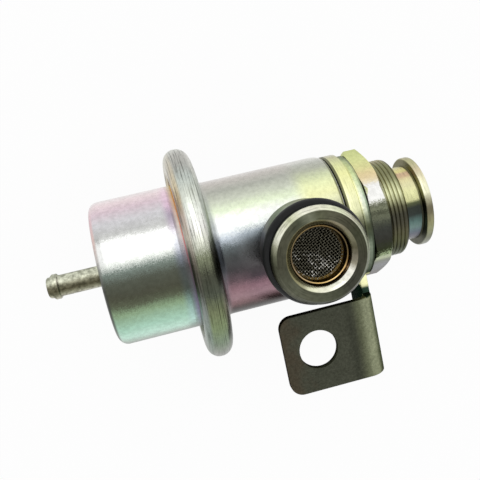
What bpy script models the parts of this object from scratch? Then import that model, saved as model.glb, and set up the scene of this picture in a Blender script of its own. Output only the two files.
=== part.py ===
"""Fuel pressure regulator with a side inlet, an end outlet and a folded bracket.

The part's own frame has its origin at the centre of the bracket's bolt hole, on the tab's outer face. +X runs
along the body from the vacuum nipple to the outlet, +Z leaves the side port. All sizes are in metres.
Places along the body are written from the middle of the rolled flange, on the body's axis.
"""

import math

import bmesh
import bpy
from mathutils import Matrix, Vector

# Clearances
SEAT_GAP = 0.0002          # between two pieces that touch
SLIP_GAP = 0.00012         # round a small piece that is pressed or dropped in
VALVE_GAP = 0.0003         # between the closed valve and its seat

# Rolled flange and lower housing
RIM_RADIUS = 0.0238
HOUSING_WALL = 0.0014
LIP_RADIUS = 0.0187
TUBE_RADIUS = 0.01525
TUBE_FLARE = 0.0018
TUBE_LENGTH = 0.0321       # from the flange's middle to the tube's end
SHOULDER_LENGTH = 0.0022
SHOULDER_DROP = 0.00045
TUBE_EDGE = 0.0003

# Vacuum cover and nipple
COVER_RADIUS = 0.01615
COVER_WALL = 0.0011
COVER_LENGTH = 0.0212      # from the flange's middle to the cover's end
COVER_CORNER = 0.0022
COVER_FLARE = 0.0014
NIPPLE_RADIUS = 0.00238
NIPPLE_BORE = 0.0014
NIPPLE_REACH = 0.0126      # beyond the cover's end
NIPPLE_INSIDE = 0.0004
BEAD_RADIUS = 0.00285
BEAD_LENGTH = 0.0027
NIPPLE_COLLAR = 0.0031
NIPPLE_COLLAR_LENGTH = 0.0006

# Diaphragm and its plates
DIAPHRAGM = 0.0012
ROLL_MIDDLE = 0.0134
ROLL_HALF_WIDTH = 0.0013
PLATE = 0.0009
CUP_HEIGHT = 0.0036

# Valve
SHANK_RADIUS = 0.0025
RIVET_HEAD = 0.0037
RIVET_HEAD_HEIGHT = 0.0009
HOLDER_FLANGE = 0.0046
HOLDER_FLANGE_HEIGHT = 0.001
SOCKET_RADIUS = 0.0038
SOCKET_HEIGHT = 0.0019
BALL_RADIUS = 0.0017
DISC_RADIUS = 0.0037
DISC = 0.0011
RETAINER_WALL = 0.0004
RETAINER_MOUTH = 0.003
SEAT_LIP_OUTER = 0.00255
SEAT_BORE = 0.0018
SEAT_LIP_HEIGHT = 0.0011
SEAT_BASE = 0.0011
SEAT_SPIGOT = 0.003
RETURN_TUBE_RADIUS = 0.0044
RETURN_TUBE_WALL = 0.001

# Main spring and its seat
WIRE_RADIUS = 0.00095
SPRING_TURNS = 5.5
SEAT_DISH_RADIUS = 0.0114
SEAT_DISH_WALL = 0.001
SEAT_BOSS_HEIGHT = 0.0016
SEAT_HOLE = 0.003

# Side port
PORT_INSET = 0.0111        # from the tube's end to the port's axis
PORT_HEIGHT = 0.0312       # from the body's axis to the port's face
PORT_NECK_RADIUS = 0.0078
COLLAR_RADIUS = 0.0097
COLLAR_WIDTH = 0.0054
PORT_LIP_RADIUS = 0.00965
PORT_LIP_WIDTH = 0.00145
LEAD_IN_DEPTH = 0.00145
LEAD_IN_STEP = 0.0009
GLAND_RADIUS = 0.0068
GLAND_CLEARANCE = 0.00015  # on either side of the rubber ring
PORT_SPIGOT = 0.007
PORT_BORE = 0.0049
SCREEN_BORE = 0.0057
SCREEN_POCKET = 0.0053     # depth from the port's face to the shelf under the ring
MOUTH_RADIUS = 0.00685
MOUTH_DEPTH = 0.002
O_RING_WIRE = 0.0018       # half of the rubber ring's thickness

# Screen
RING_WALL = 0.00045
RING_SINK = 0.0023         # from the port's face down to the ring
RING_SHELF = 0.0012
RING_MOUTH = 0.0046
SCREEN_WALL = 0.00022
SCREEN_RIM = 0.0005
SCREEN_PITCH = 0.00082
SCREEN_GAP = 0.0004
SCREEN_DEPTH = 0.0026
WEAVE_HEIGHT = 0.00007

# Outlet fitting, from the tube's end outwards
PLUG_CLEARANCE = 0.0005    # from the port's spigot to the plug
SHOULDER_WIDTH = 0.0029
SHOULDER_EDGE = 0.0003
SHOULDER_STEP = 0.0035     # from the shoulder down to the stub
STUB_LENGTH = 0.0114
STUB_CHAMFER = 0.0007
NECK_RADIUS = 0.0086
NECK_LENGTH = 0.00445
END_RADIUS = 0.0104
END_LENGTH = 0.00175
END_EDGE = 0.0004
OUTLET_BORE = 0.004
OUTLET_CHAMFER = 0.0006
TUBE_SOCKET = 0.0095       # how deep the return tube goes into the fitting

# Bracket
SHEET = 0.0018
RING_LEG_WIDTH = 0.0028    # outside the stub
RING_LEG_CLEARANCE = 0.0003
LEG_BACK = 0.007           # behind the body's axis
LEG_CORNER = 0.003
TAB_RISE = 0.0069          # tab's outer face in front of the body's axis
TAB_TOP = 0.0181           # below the body's axis
TAB_BOTTOM = 0.037
TAB_REACH = 0.0234         # from the leg's outer face to the tab's free edge
FOLD_RADIUS = 0.004
TAB_CORNER = 0.003
BOLT_HOLE_RADIUS = 0.0045
BOLT_HOLE_INSET = 0.0081   # from the tab's free edge to the hole's centre
BOLT_HOLE_DROP = 0.02715   # below the body's axis

# Nut
NUT_WALL = 0.0017          # from the stub to a flat
NUT_HEIGHT = 0.0046
NUT_CLEARANCE = 0.0002
NUT_CHAMFER = 0.0006        # radial step of the chamfer inside the flats
NUT_CHAMFER_ANGLE = 30

# Faceting
SAME_PLACE = 1e-6
SIDES_LARGE = 36
SIDES_MEDIUM = 28
SIDES_SMALL = 20
ARC_STEPS = 3

# Places along the body that follow from the sizes above
SLOT = COVER_WALL + DIAPHRAGM + 3 * SEAT_GAP
CURL_INNER = SLOT / 2
CURL_OUTER = CURL_INNER + HOUSING_WALL
CURL_MIDDLE = RIM_RADIUS - CURL_OUTER
DIAPHRAGM_FUEL_FACE = CURL_INNER - SEAT_GAP
DIAPHRAGM_AIR_FACE = DIAPHRAGM_FUEL_FACE - DIAPHRAGM
COVER_FLANGE_FUEL_FACE = DIAPHRAGM_AIR_FACE - SEAT_GAP
COVER_FLANGE_AIR_FACE = COVER_FLANGE_FUEL_FACE - COVER_WALL
TUBE_INNER = TUBE_RADIUS - HOUSING_WALL
SHOULDER_RADIUS = TUBE_RADIUS - SHOULDER_DROP
STUB_RADIUS = SHOULDER_RADIUS - SHOULDER_STEP
RING_LEG_RADIUS = STUB_RADIUS + RING_LEG_WIDTH
NUT_ACROSS_FLATS = 2 * (STUB_RADIUS + NUT_WALL)
PORT_PLACE = TUBE_LENGTH - PORT_INSET
PORT_LIP_START = PORT_HEIGHT - LEAD_IN_DEPTH - PORT_LIP_WIDTH
COLLAR_TOP = PORT_LIP_START - 2 * (O_RING_WIRE + GLAND_CLEARANCE)
COLLAR_FOOT = COLLAR_TOP - COLLAR_WIDTH
COVER_INNER_END = -COVER_LENGTH + COVER_WALL
CUP_FLOOR_FACE = DIAPHRAGM_AIR_FACE - SEAT_GAP
PLATE_RADIUS = ROLL_MIDDLE - ROLL_HALF_WIDTH - DIAPHRAGM / 2 - 2 * SEAT_GAP
SPRING_RADIUS = PLATE_RADIUS - PLATE - SLIP_GAP - WIRE_RADIUS
LOWER_PLATE_FACE = DIAPHRAGM_FUEL_FACE + SEAT_GAP
HOLDER_FACE = LOWER_PLATE_FACE + PLATE + SEAT_GAP
SOCKET_FACE = HOLDER_FACE + HOLDER_FLANGE_HEIGHT
SOCKET_END = SOCKET_FACE + SOCKET_HEIGHT
BALL_CENTRE = SOCKET_FACE + BALL_RADIUS + SLIP_GAP
DISC_BACK = BALL_CENTRE + BALL_RADIUS + SLIP_GAP
DISC_FACE = DISC_BACK + DISC
SEAT_FACE = DISC_FACE + VALVE_GAP
SEAT_BASE_FACE = SEAT_FACE + SEAT_LIP_HEIGHT
RETURN_TUBE_START = SEAT_BASE_FACE + SEAT_BASE + SEAT_GAP
SHOULDER_START = TUBE_LENGTH + SEAT_GAP
SHOULDER_END = SHOULDER_START + SHOULDER_WIDTH
PLUG_START = PORT_PLACE + PORT_SPIGOT + PLUG_CLEARANCE
STUB_END = SHOULDER_END + STUB_LENGTH
NECK_END = STUB_END + NECK_LENGTH
OUTLET_END = NECK_END + END_LENGTH
RETURN_TUBE_END = PLUG_START + TUBE_SOCKET - SEAT_GAP
LEG_INNER_FACE = SHOULDER_END + SEAT_GAP
LEG_OUTER_FACE = LEG_INNER_FACE + SHEET
NUT_START = LEG_OUTER_FACE + SEAT_GAP
TAB_EDGE = LEG_OUTER_FACE - TAB_REACH
HOLE_PLACE = TAB_EDGE + BOLT_HOLE_INSET


# Scene and materials

def clear_scene():
    """Takes away whatever the scene holds."""
    for old in list(bpy.data.objects):
        bpy.data.objects.remove(old, do_unlink=True)


def finish(name, colour, roughness, metallic):
    """A plain Principled material."""
    material = bpy.data.materials.new(name)
    material.use_nodes = True
    shader = material.node_tree.nodes["Principled BSDF"]
    shader.inputs["Base Color"].default_value = (*colour, 1.0)
    shader.inputs["Roughness"].default_value = roughness
    shader.inputs["Metallic"].default_value = metallic
    return material


# Shapes

def arc(centre_x, centre_r, radius, start, end, steps=ARC_STEPS):
    """Points of an arc in the turning plane, from one angle to another in degrees. 0 points along +X."""
    points = []
    for step in range(steps + 1):
        angle = math.radians(start + (end - start) * step / steps)
        points.append((centre_x + radius * math.cos(angle), centre_r + radius * math.sin(angle)))
    return points


def object_from(name, bm, material):
    """Turns a bmesh into a linked, smooth shaded object."""
    bmesh.ops.recalc_face_normals(bm, faces=bm.faces)
    mesh = bpy.data.meshes.new(name)
    bm.to_mesh(mesh)
    bm.free()
    mesh.shade_smooth()
    mesh.set_sharp_from_angle(angle=math.radians(35))
    if material is not None:
        mesh.materials.append(material)
    made = bpy.data.objects.new(name, mesh)
    bpy.context.scene.collection.objects.link(made)
    return made


def turned(name, outline, material, sides=SIDES_MEDIUM, start=0.0):
    """A closed outline of (x, radius) points turned about X. The object's origin is at start on the axis."""
    bm = bmesh.new()
    points = [bm.verts.new((x - start, 0.0, r)) for x, r in outline]
    edges = []
    for first, second in zip(points, points[1:] + points[:1]):
        if first.co.z > 0 or second.co.z > 0:
            edges.append(bm.edges.new((first, second)))
    bmesh.ops.spin(
        bm, geom=points + edges, cent=(0, 0, 0), axis=(1, 0, 0), angle=math.tau, steps=sides, use_merge=True,
    )
    bmesh.ops.remove_doubles(bm, verts=bm.verts, dist=1e-8)
    made = object_from(name, bm, material)
    made.location.x = start
    return made


def drawn_out(bm, face):
    """Extrudes one face and gives back the new one, still in the old one's place."""
    made = bmesh.ops.extrude_face_region(bm, geom=[face])
    return next(item for item in made["geom"] if isinstance(item, bmesh.types.BMFace))


def carried_on(bm, face):
    """Draws the end face of a solid further out, and gives back the new end."""
    end = drawn_out(bm, face)
    bmesh.ops.delete(bm, geom=[face], context="FACES_ONLY")
    return end


def slab_mesh(outline, thickness):
    """A flat outline of (y, z) points, drawn along X by a thickness."""
    bm = bmesh.new()
    face = bm.faces.new([bm.verts.new((0.0, y, z)) for y, z in outline])
    far = drawn_out(bm, face)
    bmesh.ops.translate(bm, verts=far.verts, vec=(thickness, 0.0, 0.0))
    return bm


def slab(name, outline, thickness, material):
    """An object of a drawn outline."""
    return object_from(name, slab_mesh(outline, thickness), material)


def round_edges(bm, edges, radius):
    """Rounds a few straight edges."""
    bmesh.ops.bevel(
        bm, geom=edges, offset=radius, segments=ARC_STEPS, profile=0.5, affect="EDGES", material=-1,
    )


def edges_at(bm, **place):
    """The edges with both ends at the given coordinates."""
    def here(vertex):
        return all(abs(getattr(vertex.co, name) - value) < SAME_PLACE for name, value in place.items())
    return [edge for edge in bm.edges if here(edge.verts[0]) and here(edge.verts[1])]


def as_cutter(tool):
    """Marks an object as a tool that is left out of the model."""
    tool.hide_render = True
    tool.display_type = "WIRE"
    return tool


def combine(target, tool, operation):
    """Cuts a tool from the target, or joins it on."""
    change = target.modifiers.new(tool.name, "BOOLEAN")
    change.operation = operation
    change.solver = "EXACT"
    change.object = as_cutter(tool)


def round_bar(name, radius, start, end, sides=SIDES_MEDIUM):
    """A plain round bar along X, for cutting."""
    return turned(name, [(start, 0.0), (start, radius), (end, radius), (end, 0.0)], None, sides)


# Shells

def lower_housing(material):
    """Drawn tube, its flange rolled over the cover's flange in one full round."""
    outline = [(TUBE_LENGTH, TUBE_INNER), (TUBE_LENGTH, SHOULDER_RADIUS - TUBE_EDGE)]
    outline += [(TUBE_LENGTH - TUBE_EDGE, SHOULDER_RADIUS)]
    outline += [(TUBE_LENGTH - SHOULDER_LENGTH / 2, TUBE_RADIUS - SHOULDER_DROP / 4)]
    outline += [(TUBE_LENGTH - SHOULDER_LENGTH, TUBE_RADIUS)]
    outline += arc(CURL_OUTER + TUBE_FLARE, TUBE_RADIUS + TUBE_FLARE, TUBE_FLARE, 270, 180)
    outline += arc(0, CURL_MIDDLE, CURL_OUTER, 0, 180, 2 * ARC_STEPS)
    lip_middle = -(CURL_OUTER + CURL_INNER) / 2
    outline += arc(lip_middle, LIP_RADIUS + HOUSING_WALL / 2, HOUSING_WALL / 2, 180, 360)
    outline += arc(0, CURL_MIDDLE, CURL_INNER, 180, 0, ARC_STEPS)
    bend = TUBE_FLARE + HOUSING_WALL
    outline += arc(CURL_INNER + bend, TUBE_INNER + bend, bend, 180, 270)
    housing = turned("lower_housing", outline, material, SIDES_LARGE)
    hole = round_bar("port_hole_cutter", PORT_SPIGOT + SLIP_GAP, TUBE_INNER / 2, TUBE_RADIUS * 1.5)
    hole.location.x = PORT_PLACE
    hole.rotation_euler.y = -math.pi / 2
    combine(housing, hole, "DIFFERENCE")
    return [housing, hole]


def vacuum_cover(material):
    """Deep-drawn cup with a round corner, a flange, and a hole for the nipple."""
    inner = COVER_RADIUS - COVER_WALL
    hole = NIPPLE_RADIUS + SLIP_GAP
    bend = COVER_FLARE + COVER_WALL
    corner = COVER_CORNER - COVER_WALL
    outline = [(COVER_INNER_END, hole)]
    outline += arc(COVER_INNER_END + corner, inner - corner, corner, 180, 90)
    outline += arc(COVER_FLANGE_FUEL_FACE - bend, inner + bend, bend, 270, 360)
    outline += [(COVER_FLANGE_FUEL_FACE, CURL_MIDDLE), (COVER_FLANGE_AIR_FACE, CURL_MIDDLE)]
    outline += arc(COVER_FLANGE_AIR_FACE - COVER_FLARE, COVER_RADIUS + COVER_FLARE, COVER_FLARE, 360, 270)
    outline += arc(-COVER_LENGTH + COVER_CORNER, COVER_RADIUS - COVER_CORNER, COVER_CORNER, 90, 180)
    outline += [(-COVER_LENGTH, hole)]
    return turned("vacuum_cover", outline, material, SIDES_LARGE)


def vacuum_nipple(material):
    """Bored tube with a hose bead at its tip and a small brazing collar at its root."""
    root = -COVER_LENGTH - SEAT_GAP
    tip = -COVER_LENGTH - NIPPLE_REACH
    bead_end = tip + BEAD_LENGTH
    edge = BEAD_RADIUS - NIPPLE_RADIUS
    outline = [(tip, NIPPLE_BORE), (tip, NIPPLE_RADIUS - edge)]
    outline += [(tip + 2 * edge, BEAD_RADIUS), (bead_end - edge / 2, BEAD_RADIUS), (bead_end, NIPPLE_RADIUS)]
    outline += [(root - NIPPLE_COLLAR_LENGTH, NIPPLE_RADIUS), (root, NIPPLE_COLLAR), (root, NIPPLE_RADIUS)]
    inside = COVER_INNER_END + NIPPLE_INSIDE
    outline += [(inside, NIPPLE_RADIUS), (inside, NIPPLE_BORE)]
    return turned("vacuum_nipple", outline, material, SIDES_SMALL, start=root)


# Outlet end

def outlet_fitting(material):
    """Turned end piece: plug, shoulder, stub for the nut, O-ring neck and end flange, bored through."""
    socket = RETURN_TUBE_RADIUS + SLIP_GAP
    socket_end = PLUG_START + TUBE_SOCKET
    plug = TUBE_INNER - SEAT_GAP
    outline = [(PLUG_START, socket), (PLUG_START, plug), (SHOULDER_START, plug)]
    outline += [(SHOULDER_START, SHOULDER_RADIUS - SHOULDER_EDGE)]
    outline += [(SHOULDER_START + SHOULDER_EDGE, SHOULDER_RADIUS)]
    outline += [(SHOULDER_END, SHOULDER_RADIUS), (SHOULDER_END, STUB_RADIUS)]
    outline += [(STUB_END - STUB_CHAMFER, STUB_RADIUS), (STUB_END, STUB_RADIUS - STUB_CHAMFER)]
    outline += [(STUB_END, NECK_RADIUS)]
    outline += [(NECK_END, NECK_RADIUS), (NECK_END, END_RADIUS - END_EDGE), (NECK_END + END_EDGE, END_RADIUS)]
    outline += [(OUTLET_END - END_EDGE, END_RADIUS), (OUTLET_END, END_RADIUS - END_EDGE)]
    outline += [(OUTLET_END, OUTLET_BORE + OUTLET_CHAMFER), (OUTLET_END - OUTLET_CHAMFER, OUTLET_BORE)]
    outline += [(socket_end, OUTLET_BORE), (socket_end, socket)]
    return turned("outlet_fitting", outline, material, SIDES_LARGE, start=SHOULDER_START)


def clamp_nut(material):
    """Thin hexagon nut with one flat towards +Z, chamfered on its outer face and bored for the stub."""
    corner = NUT_ACROSS_FLATS / math.sqrt(3)
    hexagon = [(corner * math.cos(math.tau * k / 6), corner * math.sin(math.tau * k / 6)) for k in range(6)]
    nut = slab("clamp_nut", hexagon, NUT_HEIGHT, material)
    nut.location.x = NUT_START
    bore = round_bar("nut_bore_cutter", STUB_RADIUS + NUT_CLEARANCE, -NUT_HEIGHT, 2 * NUT_HEIGHT)
    bore.location.x = NUT_START
    # The chamfer is a cone that takes the corners off, down to a circle a little inside the flats.
    face = NUT_ACROSS_FLATS / 2 - NUT_CHAMFER
    wide = corner + NUT_CHAMFER
    depth = (wide - face) * math.tan(math.radians(NUT_CHAMFER_ANGLE))
    outline = [(NUT_HEIGHT - depth, wide), (NUT_HEIGHT, face), (2 * NUT_HEIGHT, face), (2 * NUT_HEIGHT, wide)]
    chamfer = turned("nut_chamfer_cutter", outline, None, SIDES_LARGE)
    chamfer.location.x = NUT_START
    combine(nut, bore, "DIFFERENCE")
    combine(nut, chamfer, "DIFFERENCE")
    return [nut, bore, chamfer]


def mounting_bracket(material):
    """One folded sheet: a ring leg round the stub, a fold, and a flat tab with a bolt hole."""
    front = TAB_RISE - FOLD_RADIUS
    first = math.pi - math.asin(front / RING_LEG_RADIUS)
    last = -math.pi + math.asin(LEG_BACK / RING_LEG_RADIUS)
    outline = []
    for step in range(SIDES_MEDIUM + 1):
        angle = first + (last - first) * step / SIDES_MEDIUM
        outline.append((RING_LEG_RADIUS * math.cos(angle), RING_LEG_RADIUS * math.sin(angle)))
    outline += [(-TAB_BOTTOM, -LEG_BACK), (-TAB_BOTTOM, front), (-TAB_TOP, front)]
    bm = slab_mesh(outline, SHEET)
    front_faces = [face for face in bm.faces if abs(face.calc_center_median().z - front) < SAME_PLACE]
    fold_edge = min(front_faces, key=lambda face: face.calc_center_median().y)
    # The fold turns the leg's front edge by a right angle about a line along Y, and the tab goes straight on.
    pivot = Vector((SHEET - FOLD_RADIUS, 0.0, front))
    steps = 2 * ARC_STEPS
    for _ in range(steps):
        fold_edge = carried_on(bm, fold_edge)
        turn = Matrix.Rotation(-math.pi / 2 / steps, 3, "Y")
        bmesh.ops.rotate(bm, verts=fold_edge.verts, cent=pivot, matrix=turn)
    fold_edge = carried_on(bm, fold_edge)
    bmesh.ops.translate(bm, verts=fold_edge.verts, vec=(FOLD_RADIUS - TAB_REACH, 0.0, 0.0))
    free_edge = SHEET - TAB_REACH
    corners = edges_at(bm, x=free_edge, y=-TAB_TOP) + edges_at(bm, x=free_edge, y=-TAB_BOTTOM)
    round_edges(bm, corners, TAB_CORNER)
    back = edges_at(bm, y=-TAB_BOTTOM, z=-LEG_BACK)
    round_edges(bm, back, LEG_CORNER)
    bracket = object_from("mounting_bracket", bm, material)
    bracket.location.x = LEG_INNER_FACE
    bore = round_bar("bracket_bore_cutter", STUB_RADIUS + RING_LEG_CLEARANCE, -SHEET, 2 * SHEET)
    bore.location.x = LEG_INNER_FACE
    bolt = round_bar("bolt_hole_cutter", BOLT_HOLE_RADIUS, TAB_RISE - 2 * SHEET, TAB_RISE + SHEET)
    bolt.location = (HOLE_PLACE, -BOLT_HOLE_DROP, 0.0)
    bolt.rotation_euler.y = -math.pi / 2
    combine(bracket, bore, "DIFFERENCE")
    combine(bracket, bolt, "DIFFERENCE")
    return [bracket, bore, bolt]


# Side port

def inlet_port(material):
    """Turned port on a saddle: neck, collar, gland and lip, with a spigot through the tube's wall."""
    # The tools start well inside the tube, below every face that they shape.
    below = TUBE_INNER / 2
    outer = [(below, 0.0), (below, PORT_NECK_RADIUS)]
    outer += [(COLLAR_FOOT, PORT_NECK_RADIUS), (COLLAR_FOOT, COLLAR_RADIUS)]
    outer += [(COLLAR_TOP, COLLAR_RADIUS), (COLLAR_TOP, GLAND_RADIUS)]
    outer += [(PORT_LIP_START, GLAND_RADIUS), (PORT_LIP_START, PORT_LIP_RADIUS)]
    outer += [(PORT_HEIGHT - LEAD_IN_DEPTH, PORT_LIP_RADIUS), (PORT_HEIGHT, PORT_LIP_RADIUS - LEAD_IN_STEP)]
    outer += [(PORT_HEIGHT, 0.0)]
    port = turned("inlet_port", outer, material, SIDES_LARGE)
    reach = 2 * COLLAR_RADIUS
    saddle = round_bar("saddle_cutter", TUBE_RADIUS + SEAT_GAP, -reach, reach, SIDES_LARGE)
    spigot_end = TUBE_INNER - HOUSING_WALL
    spigot = round_bar("port_spigot_tool", PORT_SPIGOT, spigot_end, COLLAR_TOP - SEAT_GAP)
    shelf = PORT_HEIGHT - SCREEN_POCKET
    beyond = PORT_HEIGHT + MOUTH_DEPTH
    flare = (MOUTH_RADIUS - SCREEN_BORE) * (beyond - PORT_HEIGHT) / MOUTH_DEPTH
    bore_outline = [(below / 2, 0.0), (below / 2, PORT_BORE), (shelf, PORT_BORE), (shelf, SCREEN_BORE)]
    bore_outline += [(PORT_HEIGHT - MOUTH_DEPTH, SCREEN_BORE), (beyond, MOUTH_RADIUS + flare), (beyond, 0.0)]
    bore = turned("port_bore_cutter", bore_outline, None, SIDES_MEDIUM)
    for piece in (port, spigot, bore):
        piece.rotation_euler.y = -math.pi / 2
        piece.location.x = PORT_PLACE
    saddle.location.x = PORT_PLACE
    combine(port, saddle, "DIFFERENCE")
    combine(port, spigot, "UNION")
    combine(port, bore, "DIFFERENCE")
    return [port, saddle, spigot, bore]


def inlet_o_ring(material):
    """Rubber ring in the port's gland."""
    gland_middle = (COLLAR_TOP + PORT_LIP_START) / 2
    middle = GLAND_RADIUS + SLIP_GAP + O_RING_WIRE
    outline = arc(0.0, middle, O_RING_WIRE, 0, 360, 12)[:-1]
    ring = turned("inlet_o_ring", outline, material, SIDES_MEDIUM)
    ring.rotation_euler.y = -math.pi / 2
    ring.location = (PORT_PLACE, 0.0, gland_middle)
    return ring


def screen_ring(material):
    """Brass ring with a rounded front and an inner shelf for the screen's rim."""
    outer = SCREEN_BORE - SLIP_GAP
    inner = outer - RING_WALL
    front = PORT_HEIGHT - RING_SINK
    back = PORT_HEIGHT - SCREEN_POCKET + SLIP_GAP
    outline = [(back, RING_MOUTH), (back, outer), (front - RING_WALL / 2, outer)]
    outline += [(front, (outer + inner) / 2), (front - RING_WALL / 2, inner)]
    outline += [(back + RING_SHELF, inner), (back + RING_SHELF, RING_MOUTH)]
    ring = turned("screen_ring", [(x - back, r) for x, r in outline], material, SIDES_MEDIUM)
    ring.rotation_euler.y = -math.pi / 2
    ring.location = (PORT_PLACE, 0.0, back)
    return ring


def filter_screen(material):
    """Dished screen: a lattice of ridges and gaps in a flat rim. Its crossings rise and fall like a weave."""
    dish = RING_MOUTH - SLIP_GAP
    rim_outer = SCREEN_BORE - 2 * SLIP_GAP - RING_WALL
    cells = int(2 * dish / SCREEN_PITCH)
    bm = bmesh.new()
    wire = SCREEN_PITCH - SCREEN_GAP
    lines = []
    for cell in range(cells + 1):
        middle = (cell - cells / 2) * SCREEN_PITCH
        lines += [middle - wire / 2, middle + wire / 2]
    grid = [[bm.verts.new((x, y, 0.0)) for y in lines] for x in lines]
    for i in range(len(lines) - 1):
        for j in range(len(lines) - 1):
            corner = math.hypot(max(abs(lines[i]), abs(lines[i + 1])), max(abs(lines[j]), abs(lines[j + 1])))
            if i % 2 and j % 2 and corner < dish - wire:
                continue
            bm.faces.new((grid[i][j], grid[i + 1][j], grid[i + 1][j + 1], grid[i][j + 1]))
    reach = (dish + rim_outer) / 2
    outside = [v for v in bm.verts if math.hypot(v.co.x, v.co.y) > reach]
    bmesh.ops.delete(bm, geom=outside, context="VERTS")
    for vertex in bm.verts:
        share = math.hypot(vertex.co.x, vertex.co.y) / dish
        column = round(vertex.co.x / SCREEN_PITCH + cells / 2)
        row = round(vertex.co.y / SCREEN_PITCH + cells / 2)
        weave = WEAVE_HEIGHT * (1 if (column + row) % 2 else -1)
        vertex.co.z = -SCREEN_DEPTH * max(0.0, 1.0 - share ** 2) + weave * (share < 1)
    made = bmesh.ops.extrude_face_region(bm, geom=bm.faces[:])
    upper = [item for item in made["geom"] if isinstance(item, bmesh.types.BMVert)]
    bmesh.ops.translate(bm, verts=upper, vec=(0.0, 0.0, SCREEN_WALL))
    screen = object_from("filter_screen", bm, material)
    half = SCREEN_RIM / 2
    rim_outline = [(-half, dish - wire), (-half, rim_outer), (half, rim_outer), (half, dish - wire)]
    rim = turned("screen_rim_tool", rim_outline, None, SIDES_MEDIUM)
    place = PORT_HEIGHT - SCREEN_POCKET + SLIP_GAP + RING_SHELF + SLIP_GAP + half
    screen.location = (PORT_PLACE, 0.0, place)
    rim.location = screen.location
    rim.rotation_euler.y = -math.pi / 2
    combine(screen, rim, "UNION")
    return [screen, rim]


# Inside the shells

def seat_tube(material):
    """Return tube on the axis, from the valve seat into the outlet fitting."""
    inner = RETURN_TUBE_RADIUS - RETURN_TUBE_WALL
    outline = [(RETURN_TUBE_START, inner), (RETURN_TUBE_START, RETURN_TUBE_RADIUS)]
    outline += [(RETURN_TUBE_END, RETURN_TUBE_RADIUS), (RETURN_TUBE_END, inner)]
    return turned("seat_tube", outline, material, SIDES_SMALL, start=RETURN_TUBE_START)


def valve_seat(material):
    """Hard seat with a raised lip, a base on the return tube's end and a spigot inside it."""
    spigot = RETURN_TUBE_RADIUS - RETURN_TUBE_WALL - SLIP_GAP
    base_end = SEAT_BASE_FACE + SEAT_BASE
    outline = [(SEAT_FACE, SEAT_BORE), (SEAT_FACE, SEAT_LIP_OUTER), (SEAT_BASE_FACE, SEAT_LIP_OUTER)]
    outline += [(SEAT_BASE_FACE, RETURN_TUBE_RADIUS), (base_end, RETURN_TUBE_RADIUS), (base_end, spigot)]
    outline += [(base_end + SEAT_SPIGOT, spigot), (base_end + SEAT_SPIGOT, SEAT_BORE)]
    return turned("valve_seat", outline, material, SIDES_SMALL, start=SEAT_FACE)


def diaphragm(material):
    """Rubber sheet clamped in the rolled edge, with one roll that bulges to the vacuum side."""
    middle = (DIAPHRAGM_AIR_FACE + DIAPHRAGM_FUEL_FACE) / 2
    hole = SHANK_RADIUS + SLIP_GAP
    outer_roll = ROLL_HALF_WIDTH + DIAPHRAGM / 2
    inner_roll = ROLL_HALF_WIDTH - DIAPHRAGM / 2
    outline = [(DIAPHRAGM_AIR_FACE, hole)]
    foot = math.degrees(math.asin(DIAPHRAGM / 2 / outer_roll))
    outline += arc(middle, ROLL_MIDDLE, outer_roll, 270 - foot, 90 + foot, 2 * ARC_STEPS)
    outline += [(DIAPHRAGM_AIR_FACE, CURL_MIDDLE), (DIAPHRAGM_FUEL_FACE, CURL_MIDDLE)]
    outline += [(DIAPHRAGM_FUEL_FACE, ROLL_MIDDLE + inner_roll)]
    outline += arc(middle, ROLL_MIDDLE, inner_roll, 90, 270, ARC_STEPS)
    outline += [(DIAPHRAGM_FUEL_FACE, ROLL_MIDDLE - inner_roll), (DIAPHRAGM_FUEL_FACE, hole)]
    return turned("diaphragm", outline, material, SIDES_MEDIUM, start=middle)


def spring_cup(material):
    """Plate on the vacuum side, with a turned-up wall that guides the spring."""
    back = CUP_FLOOR_FACE - PLATE
    rim = CUP_FLOOR_FACE - CUP_HEIGHT
    hole = SHANK_RADIUS + SLIP_GAP
    outline = [(CUP_FLOOR_FACE, hole), (CUP_FLOOR_FACE, PLATE_RADIUS - PLATE), (back, PLATE_RADIUS)]
    outline += [(rim, PLATE_RADIUS), (rim, PLATE_RADIUS - PLATE), (back, PLATE_RADIUS - PLATE), (back, hole)]
    return turned("spring_cup", outline, material, SIDES_MEDIUM, start=CUP_FLOOR_FACE)


def lower_plate(material):
    """Flat washer on the fuel side of the diaphragm."""
    far = LOWER_PLATE_FACE + PLATE
    hole = SHANK_RADIUS + SLIP_GAP
    outline = [(LOWER_PLATE_FACE, hole), (LOWER_PLATE_FACE, PLATE_RADIUS), (far, PLATE_RADIUS), (far, hole)]
    return turned("lower_plate", outline, material, SIDES_MEDIUM, start=LOWER_PLATE_FACE)


def valve_holder(material):
    """Rivet through plates and diaphragm, with a socket for the ball on the fuel side."""
    head = CUP_FLOOR_FACE - PLATE - SEAT_GAP
    pocket = BALL_RADIUS + SLIP_GAP
    floor = BALL_CENTRE - BALL_RADIUS - SLIP_GAP
    outline = [(head - RIVET_HEAD_HEIGHT, 0.0), (head - RIVET_HEAD_HEIGHT, RIVET_HEAD), (head, RIVET_HEAD)]
    outline += [(head, SHANK_RADIUS), (HOLDER_FACE, SHANK_RADIUS), (HOLDER_FACE, HOLDER_FLANGE)]
    outline += [(SOCKET_FACE, HOLDER_FLANGE), (SOCKET_FACE, SOCKET_RADIUS), (SOCKET_END, SOCKET_RADIUS)]
    outline += [(SOCKET_END, pocket), (floor, pocket), (floor, 0.0)]
    return turned("valve_holder", outline, material, SIDES_SMALL, start=HOLDER_FACE)


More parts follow.
